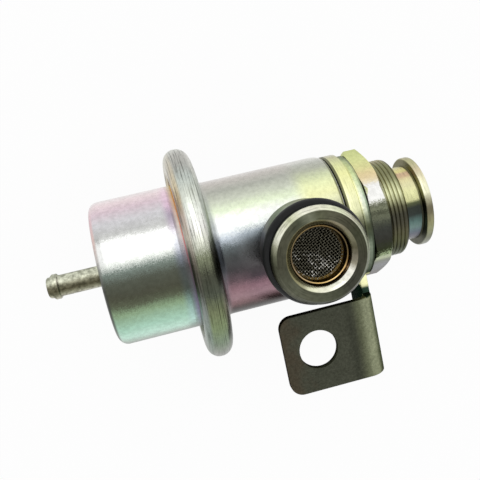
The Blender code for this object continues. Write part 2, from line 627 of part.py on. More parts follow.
def valve_ball(material):
    """Ball between the holder and the back of the valve disc."""
    outline = arc(0.0, 0.0, BALL_RADIUS, 180, 0, 2 * ARC_STEPS)
    outline = [(x, max(r, 0.0)) for x, r in outline[1:-1]]
    outline = [(-BALL_RADIUS, 0.0)] + outline + [(BALL_RADIUS, 0.0)]
    ball = turned("valve_ball", outline, material, SIDES_SMALL // 2)
    ball.location.x = BALL_CENTRE
    return ball


def valve_disc(material):
    """Flat valve that closes on the seat's lip."""
    outline = [(DISC_BACK, 0.0), (DISC_BACK, DISC_RADIUS), (DISC_FACE, DISC_RADIUS), (DISC_FACE, 0.0)]
    return turned("valve_disc", outline, material, SIDES_SMALL, start=DISC_BACK)


def valve_retainer(material):
    """Thin cap over socket and disc, open in front for the seat's lip."""
    inner = SOCKET_RADIUS + SLIP_GAP
    outer = inner + RETAINER_WALL
    root = SOCKET_FACE + SEAT_GAP
    front = DISC_FACE + SLIP_GAP
    outline = [(root, inner), (root, outer), (front + RETAINER_WALL, outer)]
    outline += [(front + RETAINER_WALL, RETAINER_MOUTH), (front, RETAINER_MOUTH), (front, inner)]
    return turned("valve_retainer", outline, material, SIDES_SMALL, start=root)


def main_spring(material):
    """Coil spring with closed ends, between the spring cup and the spring seat."""
    low = COVER_INNER_END + SEAT_GAP + SEAT_DISH_WALL + SEAT_GAP + WIRE_RADIUS
    high = CUP_FLOOR_FACE - PLATE - SEAT_GAP - WIRE_RADIUS
    closed = 2 * WIRE_RADIUS + SEAT_GAP
    per_turn = 14
    count = int(SPRING_TURNS * per_turn)
    points = []
    for step in range(count + 1):
        turn = step / per_turn
        # The first and last turn rise by one wire, the open turns between share the rest.
        open_share = min(max((turn - 1) / (SPRING_TURNS - 2), 0.0), 1.0)
        ends = min(turn, 1.0) + max(turn - (SPRING_TURNS - 1), 0.0)
        x = low + closed * ends + (high - low - 2 * closed) * open_share
        angle = math.tau * turn
        points.append((x, SPRING_RADIUS * math.cos(angle), SPRING_RADIUS * math.sin(angle)))
    curve = bpy.data.curves.new("main_spring", "CURVE")
    curve.dimensions = "3D"
    curve.bevel_depth = WIRE_RADIUS
    curve.bevel_resolution = 1
    curve.use_fill_caps = True
    spline = curve.splines.new("POLY")
    spline.points.add(len(points) - 1)
    for point, place in zip(spline.points, points):
        point.co = (*place, 1.0)
    curve.materials.append(material)
    spring = bpy.data.objects.new("main_spring", curve)
    bpy.context.scene.collection.objects.link(spring)
    return spring


def spring_seat(material):
    """Dished washer at the cover's end, its boss inside the coil and a hole for the vacuum."""
    back = COVER_INNER_END + SEAT_GAP
    face = back + SEAT_DISH_WALL
    boss = SPRING_RADIUS - WIRE_RADIUS - 2 * SEAT_GAP
    outline = [(back, boss - 2 * SEAT_DISH_WALL), (back, SEAT_DISH_RADIUS)]
    outline += [(face, SEAT_DISH_RADIUS), (face, boss)]
    outline += [(back + SEAT_BOSS_HEIGHT, boss - SEAT_BOSS_HEIGHT / 2), (back + SEAT_BOSS_HEIGHT, SEAT_HOLE)]
    outline += [(back + SEAT_BOSS_HEIGHT - SEAT_DISH_WALL, SEAT_HOLE)]
    outline += [(back + SEAT_BOSS_HEIGHT - SEAT_DISH_WALL, boss - 2 * SEAT_DISH_WALL - SEAT_GAP)]
    return turned("spring_seat", outline, material, SIDES_MEDIUM, start=back)


# Assembly

def main():
    """Builds every piece and hangs it on the body's axis, or on the valve's slide."""
    clear_scene()
    cover_zinc = finish("cover_zinc", (0.70, 0.66, 0.68), 0.3, 1.0)
    body_zinc = finish("body_zinc", (0.74, 0.74, 0.62), 0.28, 1.0)
    steel = finish("port_steel", (0.50, 0.49, 0.42), 0.35, 1.0)
    stub_zinc = finish("stub_zinc", (0.72, 0.70, 0.50), 0.32, 1.0)
    dark_zinc = finish("bracket_zinc", (0.28, 0.28, 0.22), 0.42, 1.0)
    brass = finish("brass", (0.72, 0.55, 0.25), 0.3, 1.0)
    wire = finish("screen_wire", (0.40, 0.38, 0.35), 0.35, 1.0)
    rubber = finish("rubber", (0.03, 0.03, 0.035), 0.6, 0.0)
    plate = finish("inner_steel", (0.55, 0.55, 0.55), 0.35, 1.0)
    hard = finish("hard_steel", (0.62, 0.62, 0.64), 0.2, 1.0)

    fixed = [vacuum_cover(cover_zinc), vacuum_nipple(body_zinc)]
    fixed += lower_housing(body_zinc)
    fixed += [outlet_fitting(stub_zinc)]
    fixed += clamp_nut(stub_zinc)
    fixed += mounting_bracket(dark_zinc)
    fixed += inlet_port(steel)
    fixed += [inlet_o_ring(rubber), screen_ring(brass)]
    fixed += filter_screen(wire)
    fixed += [seat_tube(plate), valve_seat(hard), diaphragm(rubber), main_spring(plate), spring_seat(plate)]
    moving = [spring_cup(plate), lower_plate(plate), valve_holder(plate)]
    moving += [valve_ball(hard), valve_disc(hard), valve_retainer(plate)]

    axis = bpy.data.objects.new("body_axis", None)
    axis.location = (-HOLE_PLACE, BOLT_HOLE_DROP, -TAB_RISE)
    slide = bpy.data.objects.new("valve_slide", None)
    for empty in (axis, slide):
        bpy.context.scene.collection.objects.link(empty)
    slide.parent = axis
    for piece in fixed:
        piece.parent = axis
    for piece in moving:
        piece.parent = slide


main()
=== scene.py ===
"""Looks of the fuel pressure regulator.

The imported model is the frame. The plated shells, the side inlet with its woven screen, the threaded outlet end and
the folded bracket are made here again as smooth pieces, and every finish is a procedural material. Sizes are in
metres. Places along the body are written from the middle of the rolled flange, on the body's axis.
"""

from __future__ import annotations

import logging
import math
from dataclasses import dataclass, field
from enum import Enum

import bmesh
import bpy
from mathutils import Matrix, Vector

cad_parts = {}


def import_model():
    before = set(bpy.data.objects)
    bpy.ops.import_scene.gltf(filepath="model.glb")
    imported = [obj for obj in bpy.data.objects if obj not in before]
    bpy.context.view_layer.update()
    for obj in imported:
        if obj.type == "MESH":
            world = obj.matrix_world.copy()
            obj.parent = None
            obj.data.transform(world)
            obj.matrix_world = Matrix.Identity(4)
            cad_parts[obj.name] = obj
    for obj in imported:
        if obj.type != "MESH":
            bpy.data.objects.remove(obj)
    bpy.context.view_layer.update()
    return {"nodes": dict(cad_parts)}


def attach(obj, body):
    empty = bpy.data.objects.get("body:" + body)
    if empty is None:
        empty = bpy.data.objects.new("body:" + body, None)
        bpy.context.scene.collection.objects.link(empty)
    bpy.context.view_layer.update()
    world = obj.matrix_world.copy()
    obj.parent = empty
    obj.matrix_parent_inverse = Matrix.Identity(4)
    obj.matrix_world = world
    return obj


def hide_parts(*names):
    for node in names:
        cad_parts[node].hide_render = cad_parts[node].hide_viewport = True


LOG = logging.getLogger("regulator")

FLANGE = Vector((-0.0219, 0.02715, -0.0069))
PORT_PLACE = 0.021
PORT_CENTRE = FLANGE + Vector((PORT_PLACE, 0.0, 0.0))
BODY_AXIS = Matrix.Translation(FLANGE)
PORT_AXIS = Matrix.Translation(PORT_CENTRE) @ Matrix.Rotation(-math.pi / 2, 4, "Y")
FLOOR_LEVEL = -0.0309

Bands = tuple[tuple[float, str], ...]
Span = tuple[float, float]

GRAIN_SCALE = 5200.0
DRIFT_SCALE = 140.0
PATCH_SCALE = 1100.0
BLUR = 0.0001
CREASE = math.radians(32)
CLEARANCE = 0.001


class Rig(Enum):
    """The body that the made pieces ride on."""

    HOUSING = "housing"


class Around(Enum):
    """The axis that a plate's colours run round."""

    BODY = "body"
    PORT = "port"


# Shader maths


def linear(code: str) -> tuple[float, float, float, float]:
    """Turns a hex colour as it is seen into the linear colour that a shader takes.

    Args:
        code: six hex digits after a #.

    Returns:
        Red, green, blue and an alpha of 1.
    """
    shown = [int(code[i : i + 2], 16) / 255 for i in (1, 3, 5)]
    red, green, blue = (c / 12.92 if c <= 0.04045 else ((c + 0.055) / 1.055) ** 2.4 for c in shown)
    return red, green, blue, 1.0


def ramp_stops(bands: Bands, span: float) -> list[tuple[float, str]]:
    """Bands in degrees as ramp stops from 0 to 1."""
    return [((degrees + span / 2) / span, code) for degrees, code in bands]


class Term:
    """A number on its way through a material. The usual signs add its Math nodes."""

    def __init__(self, sheet: NodeSheet, socket: bpy.types.NodeSocket) -> None:
        """Wraps one output socket of a sheet."""
        self.sheet = sheet
        self.socket = socket

    def maths(self, operation: str, *values: Term | float) -> Term:
        """Adds one Math node.

        Args:
            operation: the node's operation.
            values: its inputs, in order.

        Returns:
            The node's result.
        """
        made = self.sheet.node("ShaderNodeMath", {"operation": operation}, dict(enumerate(values)))
        return Term(self.sheet, made.outputs[0])

    def __add__(self, other: Term | float) -> Term:
        """self + other."""
        return self.maths("ADD", self, other)

    def __radd__(self, other: float) -> Term:
        """other + self."""
        return self.maths("ADD", other, self)

    def __sub__(self, other: Term | float) -> Term:
        """self - other."""
        return self.maths("SUBTRACT", self, other)

    def __rsub__(self, other: float) -> Term:
        """other - self."""
        return self.maths("SUBTRACT", other, self)

    def __mul__(self, other: Term | float) -> Term:
        """self * other."""
        return self.maths("MULTIPLY", self, other)

    def __rmul__(self, other: float) -> Term:
        """other * self."""
        return self.maths("MULTIPLY", other, self)

    def __truediv__(self, other: Term | float) -> Term:
        """self / other."""
        return self.maths("DIVIDE", self, other)

    def __abs__(self) -> Term:
        """abs(self)."""
        return self.maths("ABSOLUTE", self)

    def step(self, low: float, high: float) -> Term:
        """Rises smoothly from 0 to 1.

        Args:
            low: the value where it leaves 0.
            high: the value where it reaches 1.

        Returns:
            The smooth step.
        """
        made = self.sheet.node(
            "ShaderNodeMapRange",
            {"interpolation_type": "SMOOTHSTEP"},
            {"Value": self, "From Min": low, "From Max": high},
        )
        return Term(self.sheet, made.outputs[0])


class NodeSheet:
    """A material's node tree, filled by short calls."""

    def __init__(self, name: str) -> None:
        """Starts an empty Principled material of that name."""
        self.material = bpy.data.materials.new(name)
        self.material.use_nodes = True
        self.tree = self.material.node_tree
        self.shader = self.tree.nodes["Principled BSDF"]

    def node(self, kind: str, settings: dict | None = None, inputs: dict | None = None) -> bpy.types.Node:
        """Adds a node.

        Args:
            kind: the node's type.
            settings: its own settings, set first. The key stops fills a colour ramp.
            inputs: values or links by socket name or index.

        Returns:
            The new node.
        """
        made = self.tree.nodes.new(kind)
        for key, value in (settings or {}).items():
            if key == "stops":
                self.fill_ramp(made.color_ramp, value)
            else:
                setattr(made, key, value)
        for key, value in (inputs or {}).items():
            self.feed(made.inputs[key], value)
        return made

    def feed(self, socket: bpy.types.NodeSocket, value: object) -> None:
        """Sets or links one socket.

        Args:
            socket: the socket that takes the value.
            value: a Term, a socket or a plain value.
        """
        source = value.socket if isinstance(value, Term) else value
        if isinstance(source, bpy.types.NodeSocket):
            self.tree.links.new(source, socket)
        else:
            socket.default_value = source

    @staticmethod
    def fill_ramp(ramp: bpy.types.ColorRamp, stops: list[tuple[float, str]]) -> None:
        """Sets the stops of a colour ramp.

        Args:
            ramp: the ramp of a new node.
            stops: place from 0 to 1 and hex colour, in rising order.
        """
        while len(ramp.elements) < len(stops):
            ramp.elements.new(1.0)
        for element, (place, code) in zip(ramp.elements, stops):
            element.position = place
            element.color = linear(code)

    def place(self, centre: Vector) -> tuple[Term, Term, Term]:
        """Object coordinates counted from a centre.

        Args:
            centre: a point of the part's frame.

        Returns:
            x, y and z in metres.
        """
        where = self.node("ShaderNodeTexCoord").outputs["Object"]
        moved = self.node("ShaderNodeMapping", {}, {"Vector": where, "Location": tuple(-centre)})
        split = self.node("ShaderNodeSeparateXYZ", {}, {0: moved.outputs[0]})
        x, y, z = (Term(self, output) for output in split.outputs)
        return x, y, z

    def noise(self, scale: float, detail: float = 2.0, stretch: tuple[float, float, float] = (1, 1, 1)) -> Term:
        """Noise round 0, on object coordinates.

        Args:
            scale: patches per metre.
            detail: how many finer layers are added.
            stretch: how much faster it changes along each axis.

        Returns:
            A value that mostly stays between -0.5 and 0.5.
        """
        where = self.node("ShaderNodeTexCoord").outputs["Object"]
        moved = self.node("ShaderNodeMapping", {}, {"Vector": where, "Scale": stretch})
        made = self.node("ShaderNodeTexNoise", {}, {"Vector": moved.outputs[0], "Scale": scale, "Detail": detail})
        return (Term(self, made.outputs[0]) - 0.5) * 1.6

    def ramp(self, factor: Term, stops: list[tuple[float, str]]) -> bpy.types.NodeSocket:
        """A colour ramp over a factor."""
        return self.node("ShaderNodeValToRGB", {"stops": stops}, {0: factor}).outputs[0]

    def mix(self, factor: Term | float, first: object, second: object, blend: str = "MIX") -> bpy.types.NodeSocket:
        """Mixes two colours.

        Args:
            factor: the share of the second colour.
            first: a colour socket or value.
            second: a colour socket or value.
            blend: the blend type.

        Returns:
            The mixed colour.
        """
        settings = {"data_type": "RGBA", "blend_type": blend}
        return self.node("ShaderNodeMix", settings, {0: factor, 6: first, 7: second}).outputs[2]

    def lay(self, across: Term, turn: Term, zones: tuple[Zone, ...], span: float = 180.0) -> bpy.types.NodeSocket:
        """Lays zones of bands one after the other.

        Args:
            across: where along the piece a point is.
            turn: share of the turn.
            zones: the zones in rising order. The first has no start of its own.
            span: degrees that the bands cover.

        Returns:
            The colour.
        """
        colour = self.ramp(turn, ramp_stops(zones[0].bands, span))
        for zone in zones[1:]:
            share = across.step(zone.start - zone.blend, zone.start + zone.blend)
            colour = self.mix(share, colour, self.ramp(turn, ramp_stops(zone.bands, span)))
        return colour

    def mottle(self, colour: object, amount: float, scale: float) -> bpy.types.NodeSocket:
        """Breaks a colour up into slightly lighter and darker patches.

        Args:
            colour: the colour to vary.
            amount: the share of change, from 0 to 1.
            scale: patches per metre.

        Returns:
            The varied colour.
        """
        patches = self.noise(scale, 3.0)
        shade = self.ramp(patches + 0.5, [(0.25, "#8c8c86"), (0.75, "#ffffff")])
        return self.mix(amount, colour, shade, "MULTIPLY")

    def finish(
        self, colour: object, roughness: Term | float, metallic: Term | float, height: Term | None = None
    ) -> None:
        """Feeds the Principled shader.

        Args:
            colour: base colour.
            roughness: a value or a Term.
            metallic: a value or a Term.
            height: relief in metres for a Bump node.
        """
        self.feed(self.shader.inputs["Base Color"], colour)
        self.feed(self.shader.inputs["Roughness"], roughness)
        self.feed(self.shader.inputs["Metallic"], metallic)
        if height is not None:
            bump = self.node("ShaderNodeBump", {}, {"Strength": 1.0, "Distance": 1.0, "Height": height})
            self.feed(self.shader.inputs["Normal"], bump.outputs[0])


# Finishes


@dataclass(frozen=True)
class Zone:
    """A stretch of a turned piece with bands of its own round the axis, and how softly it begins. The bands are
    plating tints together with painted highlights and painted dark reflection bands.
    """

    start: float
    bands: Bands
    blend: float = 0.0006


@dataclass(frozen=True)
class PaintedValleyShade:
    """The stretch of a thread whose valleys get painted shade, darker than its crests."""

    start: float
    end: float
    floor: float
    crest: float
    shade: str = "#bdb9a2"


@dataclass(frozen=True)
class Dull:
    """A stretch where the plate is dull, so that it also scatters the light."""

    start: float
    end: float
    metallic: float = 0.3
    smoother: float = 0.0


@dataclass(frozen=True)
class Plating:
    """Zinc plate on a turned piece. Its colours run round an axis and change from zone to zone: plating tints
    together with painted highlights and painted dark reflection bands, fixed round the axis.
    """

    name: str
    zones: tuple[Zone, ...]
    around: Around = Around.BODY
    lower: tuple[Zone, ...] = ()
    speckle: float = 0.012
    drift: float = 0.016
    roughness: float = 0.3
    mottling: float = 0.12
    edge_tint: str = "#c4c4c4"
    ring_lines: float = 0.0
    ring_pitch: float = 0.0004
    ring_reach: Span = (-1.0, 1.0)
    line_height: float = 0.00001
    grain_height: float = 0.0000025
    grain_gloss: float = 0.12
    valleys: PaintedValleyShade | None = None
    dull: tuple[Dull, ...] = ()

    def rings(self, sheet: NodeSheet, across: Term, turn: Term) -> Term:
        """Fine lines that the tool left round the axis, inside the reach only.

        Args:
            sheet: the material's node tree.
            across: place along the axis, or distance from the port's axis.
            turn: share of the turn.

        Returns:
            A value round 0.
        """
        low, high = self.ring_reach
        where = sheet.node("ShaderNodeCombineXYZ", {}, {0: across / self.ring_pitch, 1: turn * 9.0})
        lines = sheet.node("ShaderNodeTexNoise", {"noise_dimensions": "3D"}, {0: where.outputs[0], "Scale": 1.0})
        inside = across.step(low, low + 0.0002) * (1.0 - across.step(high - 0.0002, high))
        return (Term(sheet, lines.outputs[0]) - 0.5) * inside

    def material(self) -> bpy.types.Material:
        """Builds the plate's material.

        Returns:
            The new material.
        """
        sheet = NodeSheet(self.name)
        grain = sheet.noise(GRAIN_SCALE, 2.0)
        drift = sheet.noise(DRIFT_SCALE, 3.0)
        span = 180.0 if self.around is Around.BODY else 360.0
        if self.around is Around.BODY:
            x, y, z = sheet.place(FLANGE)
            turn = y.maths("ARCTAN2", y, abs(z)) / math.pi + 0.5
            across = x
        else:
            x, y, z = sheet.place(PORT_CENTRE)
            turn = y.maths("ARCTAN2", y, x) / math.tau + 0.5
            across = x.maths("SQRT", x * x + y * y)
        turn = turn + grain * self.speckle + drift * self.drift
        # The ramps over the turn lay plating tints with painted highlights and painted dark reflection bands.
        colour = sheet.lay(across, turn, self.zones, span)
        # Lower zones paint their own tints, highlights and shade below a height.
        for zone in self.lower:
            share = 1.0 - z.step(zone.start - zone.blend, zone.start + zone.blend)
            colour = sheet.mix(share, colour, sheet.ramp(turn, ramp_stops(zone.bands, span)))
        colour = sheet.mottle(colour, self.mottling, PATCH_SCALE)
        height = grain * self.grain_height
        if self.ring_lines:
            line = self.rings(sheet, across, turn)
            height = height + line * self.line_height
            shade = sheet.ramp(line * 1.8 + 0.6, [(0.2, "#70706a"), (0.6, "#ffffff")])
            colour = sheet.mix(self.ring_lines, colour, shade, "MULTIPLY")
        if self.valleys:
            # Painted shade in the thread's valleys.
            valley_shade = self.valleys
            radius = y.maths("SQRT", y * y + z * z)
            shaded_valley = 1.0 - radius.step(valley_shade.floor, valley_shade.crest)
            along = x.step(valley_shade.start - BLUR, valley_shade.start) * (1.0 - x.step(valley_shade.end, valley_shade.end + BLUR))
            colour = sheet.mix(shaded_valley * along, colour, linear(valley_shade.shade), "MULTIPLY")
        metallic: Term | float = 1.0
        roughness = grain * self.grain_gloss + self.roughness
        for patch in self.dull:
            inside = across.step(patch.start - BLUR, patch.start + BLUR)
            inside = inside * (1.0 - across.step(patch.end - BLUR, patch.end + BLUR))
            metallic = metallic - inside * (1.0 - patch.metallic)
            roughness = roughness - inside * patch.smoother
        sheet.feed(sheet.shader.inputs["Specular Tint"], linear(self.edge_tint))
        sheet.finish(colour, roughness, metallic, height)
        return sheet.material


@dataclass(frozen=True)
class BracketPlate:
    """Plate of the folded sheet, with painted light and shade on the fold and the ring leg.

    The tab is dark, partly its own tone and partly a painted dark reflection, and brown round the hole. Along the
    fold lie a painted shade line and a painted highlight. The ring leg is banded with painted highlights and painted
    dark reflection bands, with painted light beside the tab and painted shade under it.
    """

    name: str = "bracket_zinc"
    # The tab's tone, darkened further as a painted dark reflection.
    face: str = "#505246"
    brown: str = "#564c3e"
    # The painted highlight along the fold.
    pale: str = "#a6ab8c"
    # Painted light on the ring leg beside the tab.
    painted_leg_light: str = "#fbfac6"
    # Painted shade on the leg below that light and under the tab.
    green: str = "#2d4236"
    # A painted shade line before the fold, then painted light rising over the fold's curve.
    painted_fold_shade: str = "#35382e"
    fold_side_light: str = "#6a6e56"
    fold_back_light: str = "#777d69"
    edge_tint: str = "#7c7c7c"
    brown_fades: Span = (0.0135, 0.0195)
    line_rises: Span = (0.0285, 0.0302)
    line_fades: Span = (0.0306, 0.0318)
    side_rises: Span = (0.0302, 0.0332)
    fold_highlight_rises: Span = (0.0318, 0.0354)
    back_rises: Span = (0.0352, 0.0366)
    leg_rises: Span = (0.0349, 0.0352)
    upper_rises: Span = (-0.0190, -0.0180)
    painted_leg_light_fades: Span = (-0.0128, -0.0120)
    painted_leg_shade_fades: Span = (-0.0170, -0.0162)
    tab_shade_fades: Span = (-0.0166, -0.0158)
    tab_shade_level: Span = (0.0022, 0.0032)
    # The ring leg's bands: tints with painted highlights and painted dark reflection bands.
    ring: tuple[Zone, ...] = (
        Zone(0.0, (
            (-90, "#6b6a60"), (-55, "#8a9080"), (-35, "#a3a892"), (-20, "#b0b39e"), (-9, "#565c48"), (0, "#5c6148"),
            (8, "#a8ae8a"), (16, "#f6f8d2"), (25, "#fbfdd0"), (38, "#f4f6c4"), (50, "#e5e7a8"), (60, "#dde2a4"),
            (70, "#d2dca8"), (80, "#cdd2ae"), (90, "#dcdec6"),
        )),
        Zone(0.0359, (
            (-90, "#5b5751"), (-55, "#6c7468"), (-20, "#84907c"), (-9, "#4c5544"), (0, "#555a44"), (8, "#9aa288"),
            (16, "#ecf3d8"), (25, "#ecf4e2"), (38, "#e2eec4"), (50, "#dcebb0"), (60, "#d6e2a8"), (70, "#cfd9ac"),
            (80, "#bac8a8"), (90, "#d0d6bc"),
        ), 0.00015),
        Zone(0.03665, (
            (-90, "#514e48"), (-20, "#4f5a4a"), (0, "#45493a"), (10, "#6c7560"), (18, "#a2b49a"), (25, "#b2c6aa"),
            (38, "#b6c6a0"), (50, "#c0c898"), (70, "#aeb89a"), (90, "#bcc2aa"),
        ), 0.00015),
        Zone(0.0370, (
            (-90, "#35332f"), (-20, "#333c32"), (0, "#33362a"), (18, "#6c7664"), (25, "#7a8070"), (50, "#858a66"),
            (70, "#858c72"), (90, "#8a8f7c"),
        ), 0.0001),
    )

    def material(self) -> bpy.types.Material:
        """Builds the sheet's material.

        Returns:
            The new material.
        """
        sheet = NodeSheet(self.name)
        x, y, z = sheet.place(FLANGE)
        cloud = sheet.noise(260.0, 4.0)
        grain = sheet.noise(GRAIN_SCALE, 2.0)
        lines = sheet.noise(700.0, 2.0, (1.0, 0.06, 1.0))
        left = 1.0 - (x + cloud * 0.008).step(*self.brown_fades)
        tab = sheet.mix(left * 0.7, linear(self.face), linear(self.brown))
        # Painted light over the fold: a painted shade line, then painted highlights rising over the curve.
        toward = x + lines * 0.0007
        band = toward.step(*self.line_rises) * (1.0 - toward.step(*self.line_fades))
        tab = sheet.mix(band * 0.35, tab, linear(self.painted_fold_shade))
        tab = sheet.mix(toward.step(*self.side_rises), tab, linear(self.fold_side_light))
        tab = sheet.mix(toward.step(*self.fold_highlight_rises), tab, linear(self.pale))
        tab = sheet.mix(toward.step(*self.back_rises) * 0.8, tab, linear(self.fold_back_light))
        for amount, scale in ((0.35, 1500.0), (0.35, 3300.0), (0.2, 240.0)):
            tab = sheet.mottle(tab, amount, scale)
        # The ring leg's bands paint highlights and dark reflections round the axis.
        turn = y.maths("ARCTAN2", y, abs(z)) / math.pi + 0.5 + grain * 0.01
        ring = sheet.lay(x, turn, self.ring)
        leg = x.step(*self.leg_rises)
        fine, rough = y + cloud * 0.0004, y + cloud * 0.0006
        upper = fine.step(*self.upper_rises)
        colour = sheet.mix(leg * upper, tab, sheet.mottle(ring, 0.3, 1500.0))
        # Painted light on the leg beside the tab, painted shade below it and under the tab.
        beside = leg * (1.0 - fine.step(*self.painted_leg_light_fades)) * upper
        colour = sheet.mix(beside, colour, linear(self.painted_leg_light))
        colour = sheet.mix(beside * (1.0 - rough.step(*self.painted_leg_shade_fades)), colour, linear(self.green))
        under = leg * (1.0 - z.step(*self.tab_shade_level)) * (1.0 - rough.step(*self.tab_shade_fades))
        colour = sheet.mix(under, colour, linear(self.green))
        sheet.feed(sheet.shader.inputs["Specular Tint"], linear(self.edge_tint))
        sheet.finish(colour, cloud * 0.1 + 0.42, 1.0, grain * 0.000004)
        return sheet.material


@dataclass(frozen=True)
class PlainMetal:
    """Bare metal of one colour, slightly uneven."""

    name: str
    colour: str
    roughness: float = 0.32
    mottling: float = 0.3
    scale: float = 900.0

    def material(self) -> bpy.types.Material:
        """Builds the metal's material.

        Returns:
            The new material.
        """
        sheet = NodeSheet(self.name)
        grain = sheet.noise(4000.0, 2.0)
        colour = sheet.mottle(linear(self.colour), self.mottling, self.scale)
        sheet.finish(colour, grain * 0.1 + self.roughness, 1.0, grain * 0.000002)
        return sheet.material


@dataclass(frozen=True)
class Rubber:
    """Moulded black rubber with a dull bloom."""

    name: str
    colour: str = "#0e0f0f"
    bloom: str = "#1b1d1d"
    roughness: float = 0.5
    gloss: float = 0.22

    def material(self) -> bpy.types.Material:
        """Builds the rubber's material.

        Returns:
            The new material.
        """
        sheet = NodeSheet(self.name)
        dust = sheet.noise(700.0, 4.0)
        grain = sheet.noise(6000.0, 2.0)
        colour = sheet.mix(dust.step(-0.1, 0.5), linear(self.colour), linear(self.bloom))
        sheet.feed(sheet.shader.inputs["Specular IOR Level"], self.gloss)
        sheet.finish(colour, dust * 0.15 + self.roughness, 0.0, grain * 0.000004)
        return sheet.material


@dataclass(frozen=True)
class ScreenWire:
    """Fine wire: its own dark tone in the upper part of the dish, painted glints in the lower part, and a few stray
    painted glints all over.
    """

    name: str = "screen_wire"
    dark: str = "#706d5d"
    painted_glint: str = "#fffdf4"
    glint_area_fades: Span = (-0.0030, 0.0012)
    glint_rises: Span = (-0.05, 0.12)
    stray_rises: Span = (0.26, 0.38)
    roughness: float = 0.25
    metallic: float = 0.7

    def material(self) -> bpy.types.Material:
        """Builds the wire's material.

        Returns:
            The new material.
        """
        sheet = NodeSheet(self.name)
        x, y, _ = sheet.place(PORT_CENTRE)
        glint = sheet.noise(1900.0, 2.0)
        patch = sheet.noise(330.0, 2.0)
        # Painted glints: painted highlights over the lower part of the dish, and a few stray ones anywhere.
        low = 1.0 - (y + x * 0.35 + patch * 0.003).step(*self.glint_area_fades)
        share = low * (glint + patch * 0.8).step(*self.glint_rises) + glint.step(*self.stray_rises) * 0.4
        colour = sheet.mix(share, linear(self.dark), linear(self.painted_glint))
        sheet.finish(colour, self.roughness, self.metallic)
        return sheet.material


# Every plate's bands below are plating tints together with painted highlights and painted dark reflection bands round
# its axis.
COVER_PLATE = Plating(
    "cover_zinc",
    (
        Zone(-1.0, (
            (-90, "#b9c4bc"), (-40, "#b4c2b8"), (0, "#aab0aa"), (40, "#c8c2c4"), (90, "#cfc6ca"),
        )),
        Zone(-0.02112, (
            (-90, "#6f786e"), (-60, "#5a665a"), (-40, "#4a5848"), (-20, "#3a3e36"), (0, "#45473f"), (14, "#80857e"),
            (24, "#c6c2be"), (40, "#e6c9c2"), (60, "#e8c6cc"), (75, "#f2dade"), (90, "#fbecee"),
        ), 0.00005),
        Zone(-0.0205, (
            (-90, "#707b72"), (-70, "#7e8a80"), (-60, "#b2c2b6"), (-50, "#cbeedd"), (-38, "#aed6c0"),
            (-22, "#8fa886"), (-15, "#5d6350"), (-8, "#4e4f42"), (3, "#575b50"), (11, "#7c8880"), (17, "#dfe3dd"),
            (22, "#fbfcfa"), (32, "#fdfefc"), (38, "#bfc0bd"), (50, "#dad9dc"), (64, "#e2ced7"), (75, "#f8e5e8"),
            (90, "#fff8f8"),
        ), 0.0003),
        Zone(-0.0052, (
            (-90, "#7d8a80"), (-62, "#8c998f"), (-54, "#a2b8ae"), (-44, "#c0e4da"), (-25, "#8aa79e"),
            (-13, "#4e554e"), (3, "#505554"), (12, "#848a94"), (19, "#c4c6ce"), (27, "#e6e7eb"), (36, "#b8adb9"),
            (45, "#b2a7b7"), (55, "#e6cadd"), (72, "#f8dcea"), (90, "#feeef0"),
        ), 0.0009),
        Zone(-0.0035, (
            (-90, "#8f9b94"), (-65, "#8f9b94"), (-55, "#a3b5b3"), (-45, "#b6c4d2"), (-35, "#a9afc6"),
            (-25, "#9394a9"), (-14, "#6b6d72"), (4, "#5b5856"), (14, "#aaa2ae"), (24, "#f4f0ee"), (36, "#fbf9ee"),
            (46, "#f9e2d6"), (56, "#f5d7be"), (66, "#f1dab8"), (76, "#f6dfc0"), (90, "#fff3d4"),
        ), 0.0004),
        Zone(-0.0029, (
            (-90, "#777c70"), (-50, "#8a9490"), (-32, "#a090b0"), (-15, "#6a5c70"), (3, "#7a5c66"), (12, "#c87c80"),
            (22, "#e8706e"), (34, "#f08a5c"), (46, "#f0a030"), (60, "#eea60c"), (75, "#ebb21c"), (90, "#e6cc70"),
        ), 0.0002),
    ),
    speckle=0.045,
    mottling=0.2,
    edge_tint="#f4f4f4",
    dull=(Dull(-0.0040, -0.0010, 0.1),),
)

